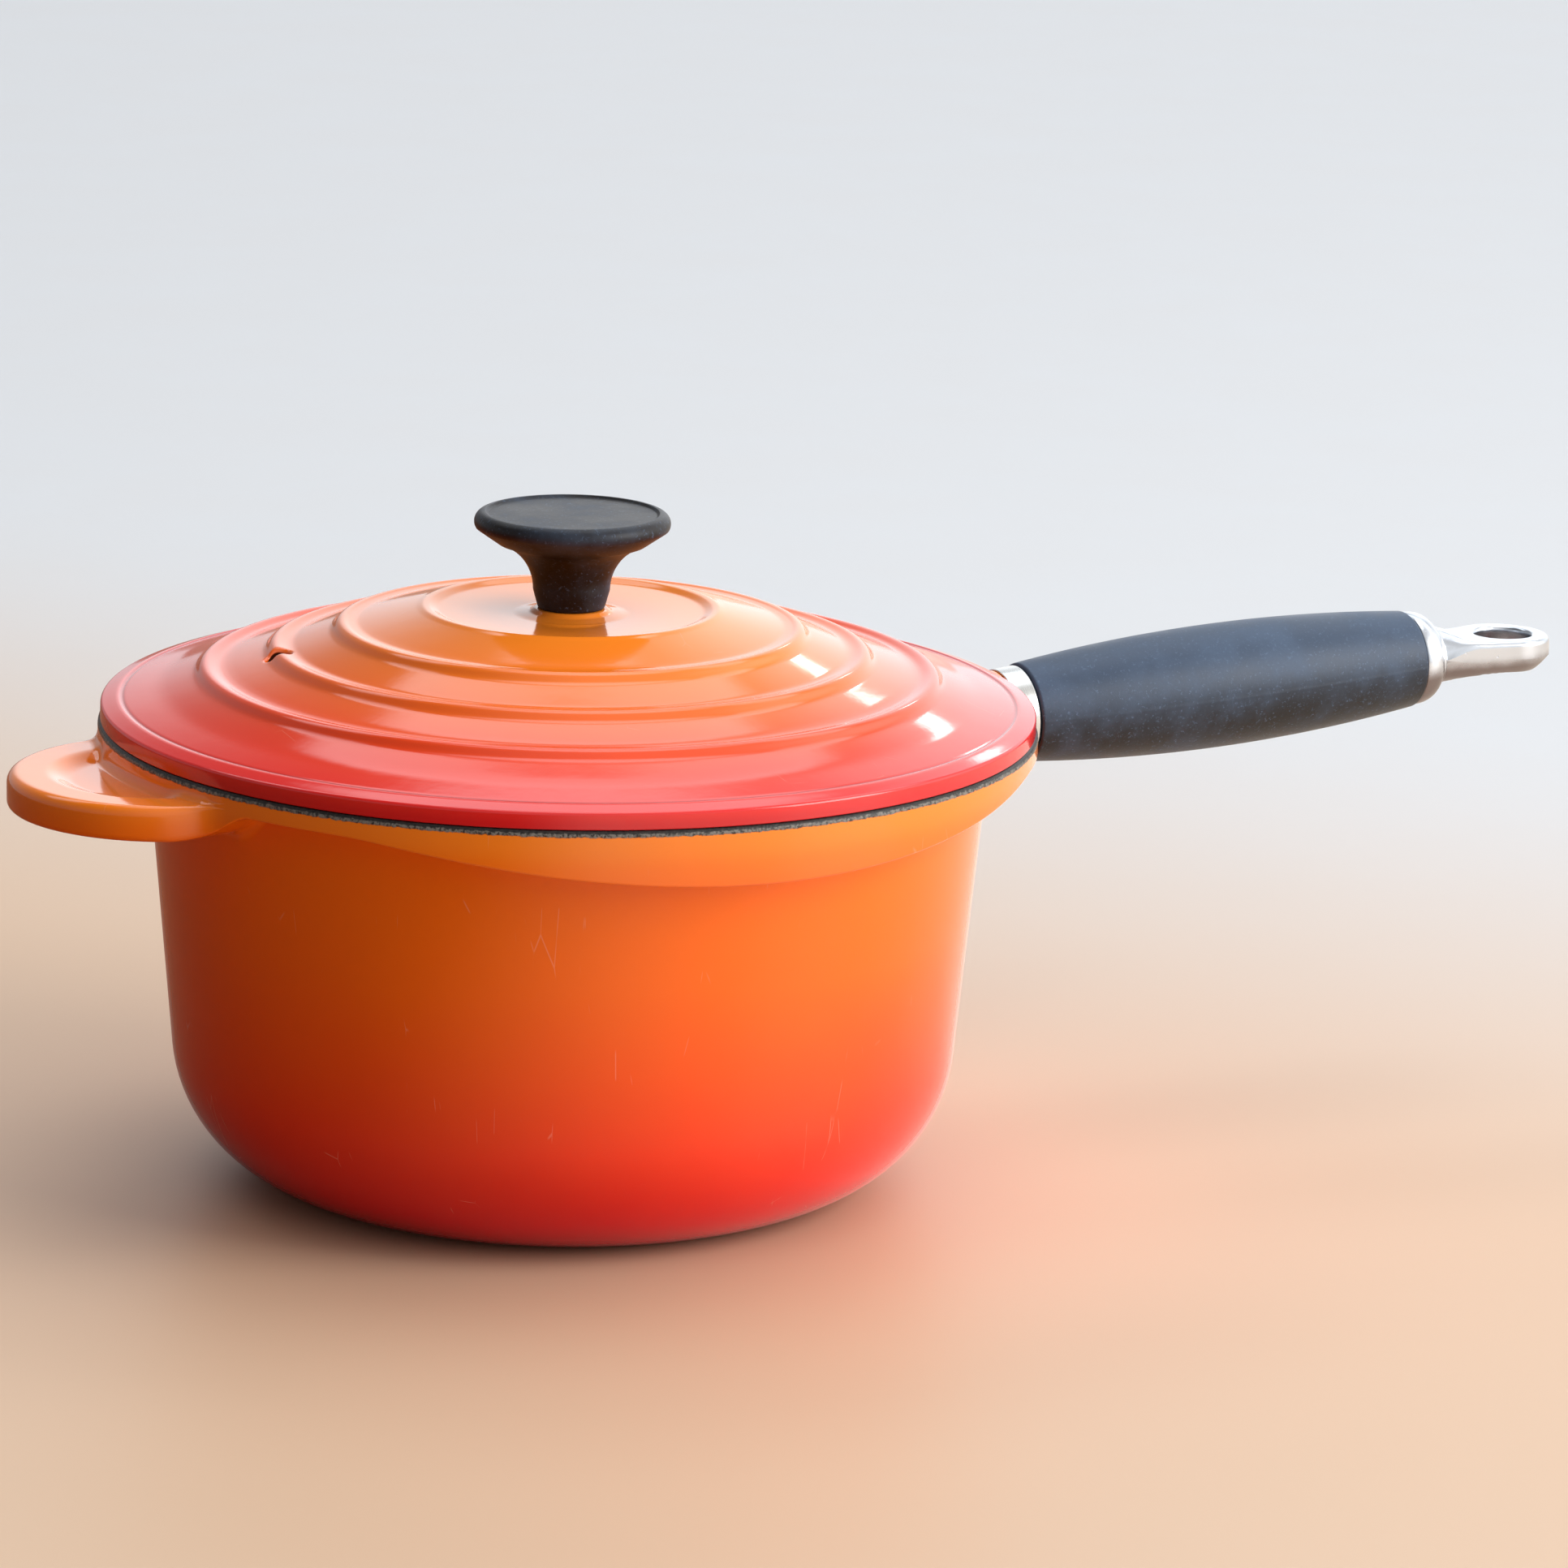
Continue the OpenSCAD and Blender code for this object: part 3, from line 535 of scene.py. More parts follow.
# The grid's columns run round the pot, closer together at the pour lips and the tab. Its rows start at the middle of
# the base, go up the outer wall, over the band, across the rim and down the inside to the middle of the floor.
# Towards the tab, the band's section turns smoothly into the tab's.
def potShell(v):
    spans = [(0, 78, 1.3), (78, 102, 0.5), (102, 150, 1.0), (150, 210, 0.36), (210, 258, 1.0), (258, 282, 0.5),
             (282, 360, 1.3)]
    theta = np.radians(np.concatenate([np.linspace(a, b, round((b - a) / s), endpoint=False) for a, b, s in spans]))
    columns = len(theta)
    lean = math.tan(math.radians(v["draft"]))
    wallTop = v["mouth"] + v["wall"]
    rim = wallTop + v["band"]
    top = v["height"]
    mouthZ = top - v["flare"]
    base = wallTop - mouthZ * lean
    footIn = base + v["corner"] * lean - v["corner"] / math.cos(math.radians(v["draft"])) - v["foot"]
    rows = []

    def strip(r, z):  # adds rows of radius and height, each the same or different round the pot
        r, z = np.asarray(r, float), np.asarray(z, float)
        if r.ndim == 1:
            r, z = r[:, None], z[:, None]
        rows.append(paired(r + np.zeros((1, columns)), z))

    below = roundedOutline([(0, v["hollow"]), (footIn, v["hollow"], 0.4), (footIn + 0.4, 0, 0.3),
                            (base, 0, v["corner"]), (base + v["plainTop"] * lean, v["plainTop"])], 4)
    below = refined(below, 9)[1:]
    strip(below[:, 0], below[:, 1])

    # the band's lower edge is a long arc seen from the side, and a low step near the tab and the handle
    edgeX = rim * np.cos(theta)
    arc = top - v["deepBand"] + v["bandArc"] - np.sqrt(v["bandArc"] ** 2 - edgeX ** 2)
    low = top - v["lowBand"]
    # the two meet smoothly: the logarithm of 1 + e to the power of what the arc is lower by, sharper with bandBlend
    bandLow = low - np.logaddexp(0, (low - arc) * v["bandBlend"]) / v["bandBlend"]
    fromTab = np.abs(theta - math.pi)
    share = smooth((math.radians(tab["turn"]) - fromTab) / math.radians(tab["fade"]))  # 1 on the tab, 0 on the band
    tabTop = top - tab["drop"]
    tabLow = tabTop - tab["thick"]
    wallMeet = np.minimum(bandLow, bandLow + share * (tabLow - bandLow))
    wallLow = wallMeet - v["cove"] - share * (tab["under"] - v["cove"])
    t = np.linspace(0, 1, 5)[1:, None]
    wallZ = v["plainTop"] + t * (wallLow - v["plainTop"])
    strip(base + wallZ * lean, wallZ)

    bend, straight, faceRows = 6, 2, 48  # rows of a rounding, of the tab's side and of the band's face
    q = quarter(bend + 1)[:, None]
    foot = base + wallLow * lean  # wall radius where the lower cove starts
    cove = [paired(foot + s * (1 - np.cos(q)), wallLow + s * np.sin(q))[1:] for s in (v["cove"], tab["under"])]
    # plain band: lower edge, then its face
    e = v["lowerRound"]
    lowEdge = paired(rim - e + e * np.sin(q), bandLow + e * (1 - np.cos(q)))
    t = np.linspace(0, 1, faceRows + 1)[1:, None]
    faceTop = top - v["upperRound"]
    face = paired(rim, bandLow + e + t * (faceTop - bandLow - e))
    plain = np.concatenate([cove[0], lowEdge, face])
    # tab: lower edge, side, upper edge, top with its dish, cove against the band, band face above
    reach = tabReach(fromTab, rim)
    most = (reach - rim) * 0.45  # a rounding takes less than half of what the tab stands out by
    e = np.minimum(tab["lowerRound"], most)
    c = np.minimum(tab["cove"], most)
    lowTab = paired(reach - e + e * np.sin(q), tabLow + e * (1 - np.cos(q)))
    sideLow = tabLow + e
    e = np.minimum(tab["round"], most)
    q = q[1:]
    level = np.linspace(0, 1, straight + 1)[1:, None]
    side = paired(reach, sideLow + level * (tabTop - e - sideLow))
    upper = paired(reach - e + e * np.cos(q), tabTop - e + e * np.sin(q))
    topRows = faceRows - 2 * straight - 2 * bend
    t = np.linspace(0, 1, topRows + 1)[1:, None]
    flatR = reach - e + t * (rim + c - reach + e)
    flat = paired(flatR, tabTop)
    coveTab = paired(rim + c - c * np.sin(q), tabTop + c * (1 - np.cos(q)))
    rest = paired(rim, tabTop + c + level * (faceTop - tabTop - c))
    tabForm = np.concatenate([cove[1], lowTab, side, upper, flat, coveTab, rest])
    # the dish sinks the top towards the tab's middle and fades before the band
    centre = rim + tab["reach"] - tab["radius"]
    x = tabForm[..., 0] * np.cos(theta) + centre
    y = tabForm[..., 0] * np.sin(theta)
    fromMiddle = np.hypot(x, y)
    dish = smooth((tab["radius"] - tab["border"] + tab["dishOut"] - fromMiddle) / tab["dishSlope"])
    onTop = np.zeros(len(tabForm))
    first = len(cove[1]) + len(lowTab) + len(side) + len(upper)
    onTop[first:first + topRows] = 1
    onTop[first + topRows:first + topRows + bend] = np.cos(q[:, 0]) ** 0.8
    tabForm[..., 1] -= tab["dish"] * dish * onTop[:, None]
    rows.append(plain + share[:, None] * (tabForm - plain))

    # rim, ground land, flare, inner wall and floor
    q = quarter(8)[1:]
    u = v["upperRound"]
    rimStart = sum(len(r) for r in rows) - 1
    strip(rim - u + u * np.cos(q), top - u + u * np.sin(q))
    landIn = rim - v["land"]
    innerBase = base - v["wall"] / math.cos(math.radians(v["draft"])) + v["floor"] * lean
    deep = v["mouthDeep"]
    upperIn = roundedOutline([(rim - u, top), (landIn, top, v["landRound"]), (v["mouth"], mouthZ, v["mouthRound"]),
                              (v["mouth"] - deep * lean, mouthZ - deep)])
    upperIn = refined(upperIn, 0.9)[1:]
    strip(upperIn[:, 0], upperIn[:, 1])
    lowerIn = refined(roundedOutline([tuple(upperIn[-1]), (innerBase, v["floor"], v["corner"] - v["wall"]),
                                      (0, v["floor"])], 5), 9)[1:-1]
    strip(lowerIn[:, 0], lowerIn[:, 1])
    section = np.concatenate(rows)
    radius, height = section[..., 0], section[..., 1]

    # pour channels: a cylinder lying on a slope, cut through the land from inside, with soft edges
    x, y = radius * np.cos(theta), radius * np.sin(theta)
    slope = math.radians(v["lipSlope"])
    bore = np.sqrt(np.maximum(v["lipRadius"] ** 2 - x ** 2, 0))
    channel = top - (rim - v["lipWall"] - np.abs(y)) * math.tan(slope) + (v["lipRadius"] - bore) / math.cos(slope)
    channel = np.where(np.abs(x) < v["lipRadius"] - 0.5, channel, top + 20)
    k = v["lipSoft"]
    cut = np.minimum(height, channel) - np.maximum(k - np.abs(height - channel), 0) ** 2 / (4 * k)
    near = np.zeros(len(section), bool)
    near[rimStart + len(q):rimStart + len(q) + 1 + len(upperIn)] = True
    near = near[:, None] & (height > mouthZ - v["lipLow"])
    height = np.where(near, cut, height)

    along = travelled(radius, height)
    along -= along[rimStart]
    poles = np.array([[0, 0, v["hollow"]], [0, 0, v["floor"]]])
    points, quads, triangles = capped(paired(x, y, height).reshape(-1, 3), len(section), columns, poles)
    addPiece("potShell", points, quads, triangles, body="pot", replaces=("pot_body",), slot="pot_enamel",
             layers={"along": np.concatenate([along.ravel(), [-200, 200]])})


potShell(pot)

# top holds the lug down up to topOut past the handle's start, and rises by topRise for each millimetre beyond;
# inner is the wall's inside at the height inFrom, and inLean is how fast the flare widens it above that
lug = {"end": 4, "radius": 10.8, "root": -14, "spread": 8, "power": 2.4, "edge": 0.7, "top": 107.3, "topOut": 0.3,
       "topRise": 5, "inner": 93.4, "inFrom": 99, "inLean": 0.9, "turns": 120}


def handleLug(v):  # a round boss whose side is a power curve of the distance from its end, spreading to the wall
    x = np.linspace(v["root"], v["end"] - v["edge"], 26)
    r = v["radius"] + v["spread"] * ((v["end"] - x) / (v["end"] - v["root"])) ** v["power"]
    q = quarter(6)[1:]
    e = v["edge"]
    edge = paired(v["radius"] - e * (1 - np.cos(q)), v["end"] - e * (1 - np.sin(q)))
    outline = np.vstack([[0, v["root"]], [r[0] - 3, v["root"]], paired(r, x), edge, [5, v["end"]], [0, v["end"]]])

    def place(points):  # stays under the rim's top, and its root stays inside the wall and the flared mouth
        points = onHandle(points)
        out = np.hypot(points[:, 0], points[:, 1])
        beyond = np.maximum(out - handle["out"] - v["topOut"], 0)
        points[:, 2] = np.minimum(points[:, 2], v["top"] + beyond * v["topRise"])
        inner = v["inner"] + np.maximum(points[:, 2] - v["inFrom"], 0) * v["inLean"]
        points[:, :2] *= np.maximum(inner / out, 1)[:, None]
        return points
    along = np.full(len(outline) * v["turns"] + 2, -50.0)  # all of it is enamel
    turned("handleLug", outline, place, v["turns"], body="pot", replaces=("pot_body",), slot="pot_enamel",
           layers={"along": along})


handleLug(lug)


# lid

lid = {"seat": 107.8, "radius": lidRadius, "edge": 3.3, "skirt": 0.42, "rimStrip": 7.6, "grooveIn": grooveIn,
       "grooveDeep": 0.3, "bead": 1.3, "rings": [83, 67.1, 52.1], "riser": 2.1, "ringWidth": 4.2,
       "dips": [0.8, 0.6, 0.35], "crests": [12.0, 16.8, 22.0, 25.8], "disc": 33.1, "discStep": 0.5, "discDip": 1.7,
       "boss": 8.9, "bossFoot": 4, "bossTop": 25.4, "thick": 4, "locate": 91.6, "locateLow": -5.3, "locateThick": 3.6,
       "vent": 2.7, "ventAngle": 165.6, "ventRound": 0.9}


# heights above the seat: the top from the axis to the outer edge, that edge, and the underside back to the axis
def lidOutline(v):
    crest = v["crests"]
    discLow = crest[3] - v["discDip"]
    top = [(0, v["bossTop"]), (v["boss"] - 0.6, v["bossTop"], 0.6), (v["boss"] + 0.5, v["bossTop"] - 0.8, 1.2),
           (v["boss"] + v["bossFoot"], discLow, 7), (v["disc"] - 2.8, discLow + 0.8, 3),
           (v["disc"] - 0.7, crest[3] - 0.05, 1.3),
           (v["disc"] + 0.6, crest[3] + 0.05, 1.2), (v["disc"] + 2.2, crest[3] - v["discStep"], 4)]
    for radius, height, dip in zip(reversed(v["rings"]), reversed(crest[:3]), reversed(v["dips"])):
        top += [(radius - 3.4, height - dip, 4), (radius - 1.5, height - 0.22, 1.2),
                (radius + 0.7, height + 0.35, 2.6), (radius + v["ringWidth"] / 2 + 0.1, height - v["riser"], 3.5)]
    slope = v["radius"] - v["rimStrip"]
    groove = v["radius"] - v["grooveIn"]
    lip = v["edge"] + v["bead"]
    top += [(slope - 6.1, v["edge"] + 3.4, 24), (groove - 0.9, lip, 1.2), (groove, lip - v["grooveDeep"], 0.9),
            (groove + 0.8, lip, 1.2), (v["radius"] - 2.2, v["edge"] + 0.64, 4)]
    edge = roundedOutline(top[-1:] + [(v["radius"] - 0.1, v["edge"], 0.8), (v["radius"] - 0.02, -v["skirt"], 0.3),
                                      (v["radius"] - 0.4, -v["skirt"], 0.15), (v["radius"] - 1.5, 0, 0.3),
                                      (v["radius"] - 2.5, 0)])
    locateIn = v["locate"] - v["locateThick"]
    under = [(v["locate"] + 0.4, 0, 0.8), (v["locate"], -1, 0.8), (v["locate"] - 0.3, v["locateLow"], 1.2),
             (locateIn + 0.4, v["locateLow"], 1.2)]
    lower = [crest[i] - v["riser"] - v["thick"] + 0.3 for i in range(3)]
    slopeTan = (crest[0] - v["riser"] - v["edge"]) / (slope - v["rings"][0] - v["ringWidth"] / 2)
    meet = v["edge"] + (slope - locateIn) * slopeTan - v["thick"] * 1.08
    bossLow = v["bossTop"] - v["discDip"] - v["thick"]
    under += [(locateIn, meet, 2.5), (v["rings"][0], lower[0], 20), (v["rings"][1], lower[1], 30),
              (v["rings"][2], lower[2], 30), (v["disc"], discLow - v["thick"], 8), (v["boss"] + 0.5, bossLow, 3),
              (0, bossLow)]
    return roundedOutline(top, 7), edge[1:-1], roundedOutline([tuple(edge[-1])] + under, 7)


# The outline turned round the axis. Round the vent, a square block of cells on the top and on the underside is bent
# into rings, whose middles are left out, and a tube joins the two holes.
def lidDome(v):
    topPath, edgePath, underPath = lidOutline(v)
    vent = math.radians(v["ventAngle"])
    middle = v["rings"][1]  # the vent goes through this ring
    pitch, reachCells, holeCells = 0.44, 14, 5
    cell = pitch / middle
    beside = np.arange(-reachCells, reachCells + 1) * cell
    rest = np.linspace(beside[-1], 2 * math.pi + beside[0], 300)[1:-1]
    theta = np.concatenate([vent + beside, vent + rest])
    columns = len(theta)
    # rows of the top: fine at the rings, the disc, the boss and the groove, and evenly spaced round the vent
    block = np.arange(-reachCells, reachCells + 1)
    ventRows = middle + block * pitch
    outer, groove = v["radius"] - 2.2, v["radius"] - v["grooveIn"]
    fine = [np.arange(r - 3.6, r + 3.2, 0.32) for r in (v["rings"][0], v["rings"][2], v["disc"])]
    fine += [np.arange(v["boss"] - 2, v["boss"] + 6, 0.4), np.arange(v["radius"] - 11, groove - 1, 0.35),
             np.arange(groove - 0.9, groove + 1, 0.15), np.arange(3, outer, 1.5)]
    rows = np.unique(np.round(np.concatenate(fine), 3))
    rows = rows[(np.abs(rows - middle) > reachCells * pitch + 0.15) & (rows < outer - 0.15)]
    keep = np.concatenate([[True], np.diff(rows) > 0.12])
    rows = np.sort(np.concatenate([rows[keep], ventRows]))
    seatIn = v["locate"] - v["locateThick"] - 2  # the underside's rows are even inside this, and its outline's beyond
    inside, rim = underPath[underPath[:, 0] < seatIn], underPath[underPath[:, 0] >= seatIn]
    underRows = np.sort(np.concatenate([np.arange(3, middle - reachCells * pitch - 0.5, 2.2), ventRows,
                                        np.arange(middle + reachCells * pitch + 0.8, inside[0, 0], 1.6)]))[::-1]

    def topAt(r):
        return np.interp(r, topPath[:, 0], topPath[:, 1])

    def underAt(r):
        return np.interp(r, inside[::-1, 0], inside[::-1, 1])

    def warped(radii, first, outwards, heightAt, lift):  # rows that start at first in the vent's block
        r = radii[:, None] + np.zeros(columns)
        x, y = r * np.cos(theta), r * np.sin(theta)
        a, b = np.meshgrid(block * outwards, block, indexing="ij")
        ring = np.maximum(np.abs(a), np.abs(b))
        angle = np.arctan2(b, a)
        away = v["vent"] + np.maximum(ring - holeCells, 0) * pitch
        keepSquare = smooth((ring - holeCells) / (reachCells - holeCells))
        cx, cy = middle * math.cos(vent), middle * math.sin(vent)
        ringX, ringY = cx + away * np.cos(angle + vent), cy + away * np.sin(angle + vent)
        here = (slice(first, first + len(block)), slice(0, len(block)))
        x[here] = ringX + (x[here] - ringX) * keepSquare
        y[here] = ringY + (y[here] - ringY) * keepSquare
        dip = np.clip(1 - (np.hypot(x - cx, y - cy) - v["vent"]) / v["ventRound"], 0, 1)
        return paired(x, y, heightAt(np.hypot(x, y)) + lift * v["ventRound"] * (1 - np.sqrt(1 - dip ** 2)))

    def ringRows(path):
        return paired(path[:, :1] * np.cos(theta), path[:, :1] * np.sin(theta), path[:, 1:])

    topFirst = int(np.argmin(np.abs(rows - ventRows[0])))
    underFirst = int(np.argmin(np.abs(underRows - ventRows[-1])))
    topGrid = warped(rows, topFirst, 1, topAt, -1)
    underGrid = warped(underRows, underFirst, -1, underAt, 1)
    edgeRows = ringRows(np.vstack([[outer, topAt(outer)], edgePath]))
    grid = np.concatenate([topGrid, edgeRows, ringRows(rim), underGrid])
    along = travelled(np.hypot(grid[..., 0], grid[..., 1]), grid[..., 2])
    along -= along[len(topGrid) + len(edgePath)]
    poles = np.array([[0, 0, v["bossTop"]], [0, 0, underPath[-1, 1]]])
    points, quads, triangles = capped(grid.reshape(-1, 3), len(grid), columns, poles)
    # open the block inside the hole's ring on both faces
    underFirst += len(grid) - len(underGrid)
    row, column = quads[:, 0] // columns, quads[:, 0] % columns
    firstCell = reachCells - holeCells
    inHole = np.zeros(len(quads), bool)
    for start in (topFirst, underFirst):
        inHole |= ((row >= start + firstCell) & (row < start + firstCell + 2 * holeCells)
                   & (column >= firstCell) & (column < firstCell + 2 * holeCells))
    quads = quads[~inHole]

    # the hole's ring of points, counter-clockwise seen from above, and three more rings down to the underside's
    side, end = np.arange(-holeCells, holeCells), np.full(2 * holeCells, holeCells)
    a, b = np.concatenate([end, -side, -end, side]), np.concatenate([side, end, -side, -end])
    upperLoop = (topFirst + reachCells + a) * columns + reachCells + b
    lowerLoop = (underFirst + reachCells - a) * columns + reachCells + b
    count, around = len(points), len(upperLoop)
    share = np.array([0.08, 0.5, 0.92])[:, None, None]
    tube = points[upperLoop] + share * (points[lowerLoop] - points[upperLoop])
    ladder = np.vstack([upperLoop, count + np.arange(3 * around).reshape(3, around), lowerLoop])
    after = np.roll(ladder, -1, axis=1)
    quads = np.vstack([quads, paired(ladder[:-1], ladder[1:], after[1:], after[:-1]).reshape(-1, 4)])
    points = np.vstack([points, tube.reshape(-1, 3)]) + np.array([0, 0, v["seat"]])
    layers = {"along": np.concatenate([along.ravel(), [-300, 300], np.full(3 * around, -20.0)]),
              "vent": np.concatenate([np.zeros(count), np.ones(3 * around)])}
    addPiece("lidDome", points, quads, triangles, body="lid", replaces=("lid",), slot="lid_enamel", layers=layers)


lidDome(lid)


# knob

knob = {"foot": 7.6, "neck": 8.8, "flare": 11.2, "lip": 2.6, "round": 2.4, "radius": 22.4, "height": 22.2,
        "border": 2.9, "sink": 0.55, "lift": 133.2}


# a slightly widening foot, an arc that flares out under the rim, a straight lip, the round rim and the sunk top
def knobTurned(v):
    rimX, rimZ = v["radius"] - v["round"], v["height"] - v["round"]
    lipLow = rimZ - v["round"] * math.cos(math.radians(30))
    flareTop = lipLow - v["lip"]
    flareX, flareZ = v["neck"] + v["flare"], flareTop - v["flare"] * math.cos(math.radians(15))
    foot = roundedOutline([(0, 0), (v["foot"], 0, 0.7), (v["neck"], flareZ)])
    q = np.radians(np.linspace(180, 105, 18))
    flare = paired(flareX + v["flare"] * np.cos(q), flareZ + v["flare"] * np.sin(q))
    q = np.radians(np.linspace(-30, 84, 16))
    rim = paired(rimX + v["round"] * np.cos(q), rimZ + v["round"] * np.sin(q))
    inner, sunk = v["radius"] - v["border"], v["height"] - v["sink"]
    topPath = roundedOutline([tuple(rim[-1]), (inner + 0.35, v["height"], 0.3), (inner - 0.25, sunk, 0.5),
                              (inner - 3, sunk, 2), (0, sunk + 0.12)])
    outline = np.vstack([foot[:-1], flare, rim, refined(topPath, 2.5)[1:]])
    turned("knobTurned", outline, lifted(v["lift"]), 144, body="lid", replaces=("knob",), slot="knob_plastic")


knobTurned(knob)


# handle

ferrule = {"start": 4.1, "end": 10.1, "near": 10.95, "far": 11.3, "bore": 3.4, "edge": 0.6, "spigot": 8,
           "spigotLength": 4}


def ferruleSleeve(v):  # a turned sleeve with rounded edges, and the spigot that goes into the grip
    tip = v["end"] + v["spigotLength"]
    outline = roundedOutline([(v["bore"], v["start"]), (v["near"], v["start"], 0.25),
                              (v["near"] + 0.1, v["start"] + 1), (v["far"], v["end"] - 0.2, v["edge"]),
                              (v["far"] - 1.2, v["end"], 0.3), (v["spigot"], v["end"]), (v["spigot"], tip, 0.3),
                              (v["bore"], tip)])
    turned("ferruleSleeve", refined(outline, 2), onHandle, 128, body="pot", replaces=("handle_ferrule",),
           slot="ferrule_steel")


ferruleSleeve(ferrule)

grip = {"start": 10.2, "length": 106.1, "endRadius": 11.7, "midRadius": 14.8, "edge": 0.7, "bore": 3.4,
        "seamHeight": 0.06, "seamWidth": 0.45, "seamIn": 10, "seamFade": 2}


# its side is an arc of a circle through the middle's and the ends' radii; along the mould's parting plane it
# carries a seam, which is a bell curve of the distance from that plane, and fades towards the bore on both ends
def gripBody(v):
    half = v["length"] / 2
    bulge = v["midRadius"] - v["endRadius"]
    sideRadius = (half ** 2 + bulge ** 2) / (2 * bulge)
    x = np.linspace(-half + v["edge"], half - v["edge"], 90)
    r = v["midRadius"] - sideRadius + np.sqrt(sideRadius ** 2 - x ** 2)
    q = quarter(8)[:-1]
    e = v["edge"]
    start = paired(r[0] - e + e * np.sin(q), -half + e * (1 - np.cos(q)))
    end = paired(r[-1] - e + e * np.sin(q[::-1]), half - e + e * np.cos(q[::-1]))
    outline = refined(np.vstack([[v["bore"], -half], start, paired(r, x), end, [v["bore"], half]]), 2.5)
    outline[:, 1] += v["start"] + half
    side = np.radians(np.arange(-8, 8.01, 0.8))  # close columns at the seam
    rest = np.radians(np.arange(10, 171, 3.0))
    angle = np.concatenate([math.pi / 2 + side, math.pi / 2 + rest, -math.pi / 2 + side, -math.pi / 2 + rest])
    radius = outline[:, :1] + np.zeros_like(angle)
    off = np.minimum(np.abs(np.sin(angle) - 1), np.abs(np.sin(angle) + 1))
    off = np.arccos(np.clip(1 - off, -1, 1)) * radius  # distance from the mould's parting plane
    fade = smooth((radius - v["seamIn"]) / v["seamFade"])
    seam = v["seamHeight"] * np.exp(-(off / v["seamWidth"]) ** 2) * fade
    radius = radius + seam
    points = paired(radius * np.cos(angle), radius * np.sin(angle), outline[:, 1:]).reshape(-1, 3)
    quads = gridQuads(len(outline), len(angle), True)
    addPiece("gripBody", onHandle(points), quads, body="pot", replaces=("handle_grip",), slot="grip_plastic")


gripBody(grip)

collar = {"start": 116.4, "radius": 11.3, "straight": 1.4, "dome": 5.1, "shrink": 0.78, "neck": 7.1, "bead": 1.15}


def eyeCollar(v):  # a short cylinder, a dome that is an arc of an ellipse, and the round bead where the neck begins
    domeStart = v["start"] + v["straight"]
    q = np.linspace(0, math.pi / 2 * 0.93, 16)
    dome = paired(v["radius"] - v["dome"] * (1 - np.cos(q)) * v["shrink"], domeStart + v["dome"] * np.sin(q))
    neckStart = domeStart + v["dome"]
    q = np.radians(np.linspace(-70, 90, 12))
    bead = paired(v["neck"] + v["bead"] * np.cos(q), neckStart + v["bead"] * np.sin(q))
    outline = np.vstack([[0, v["start"]], [v["radius"] - 0.5, v["start"]], [v["radius"] - 0.15, v["start"] + 0.15],
                         [v["radius"], v["start"] + 0.5], dome[:-1], bead, [v["neck"] - 1.5, neckStart + 1.4],
                         [0, neckStart + 1.4]])
    turned("eyeCollar", outline, onHandle, 128, body="pot", replaces=("hanging_eye",), slot="eye_aluminium")


eyeCollar(collar)

eye = {"hole": 6.9, "radius": 11.4, "reach": 21.4, "middle": 144.4, "neck": 7.1, "top": 3.5, "under": 4.9,
       "bevel": 3.8, "edge": 1.3, "holeEdge": 0.9, "taper": 13, "droop": 0.9, "droopFrom": -12,
       "droopLength": 24}


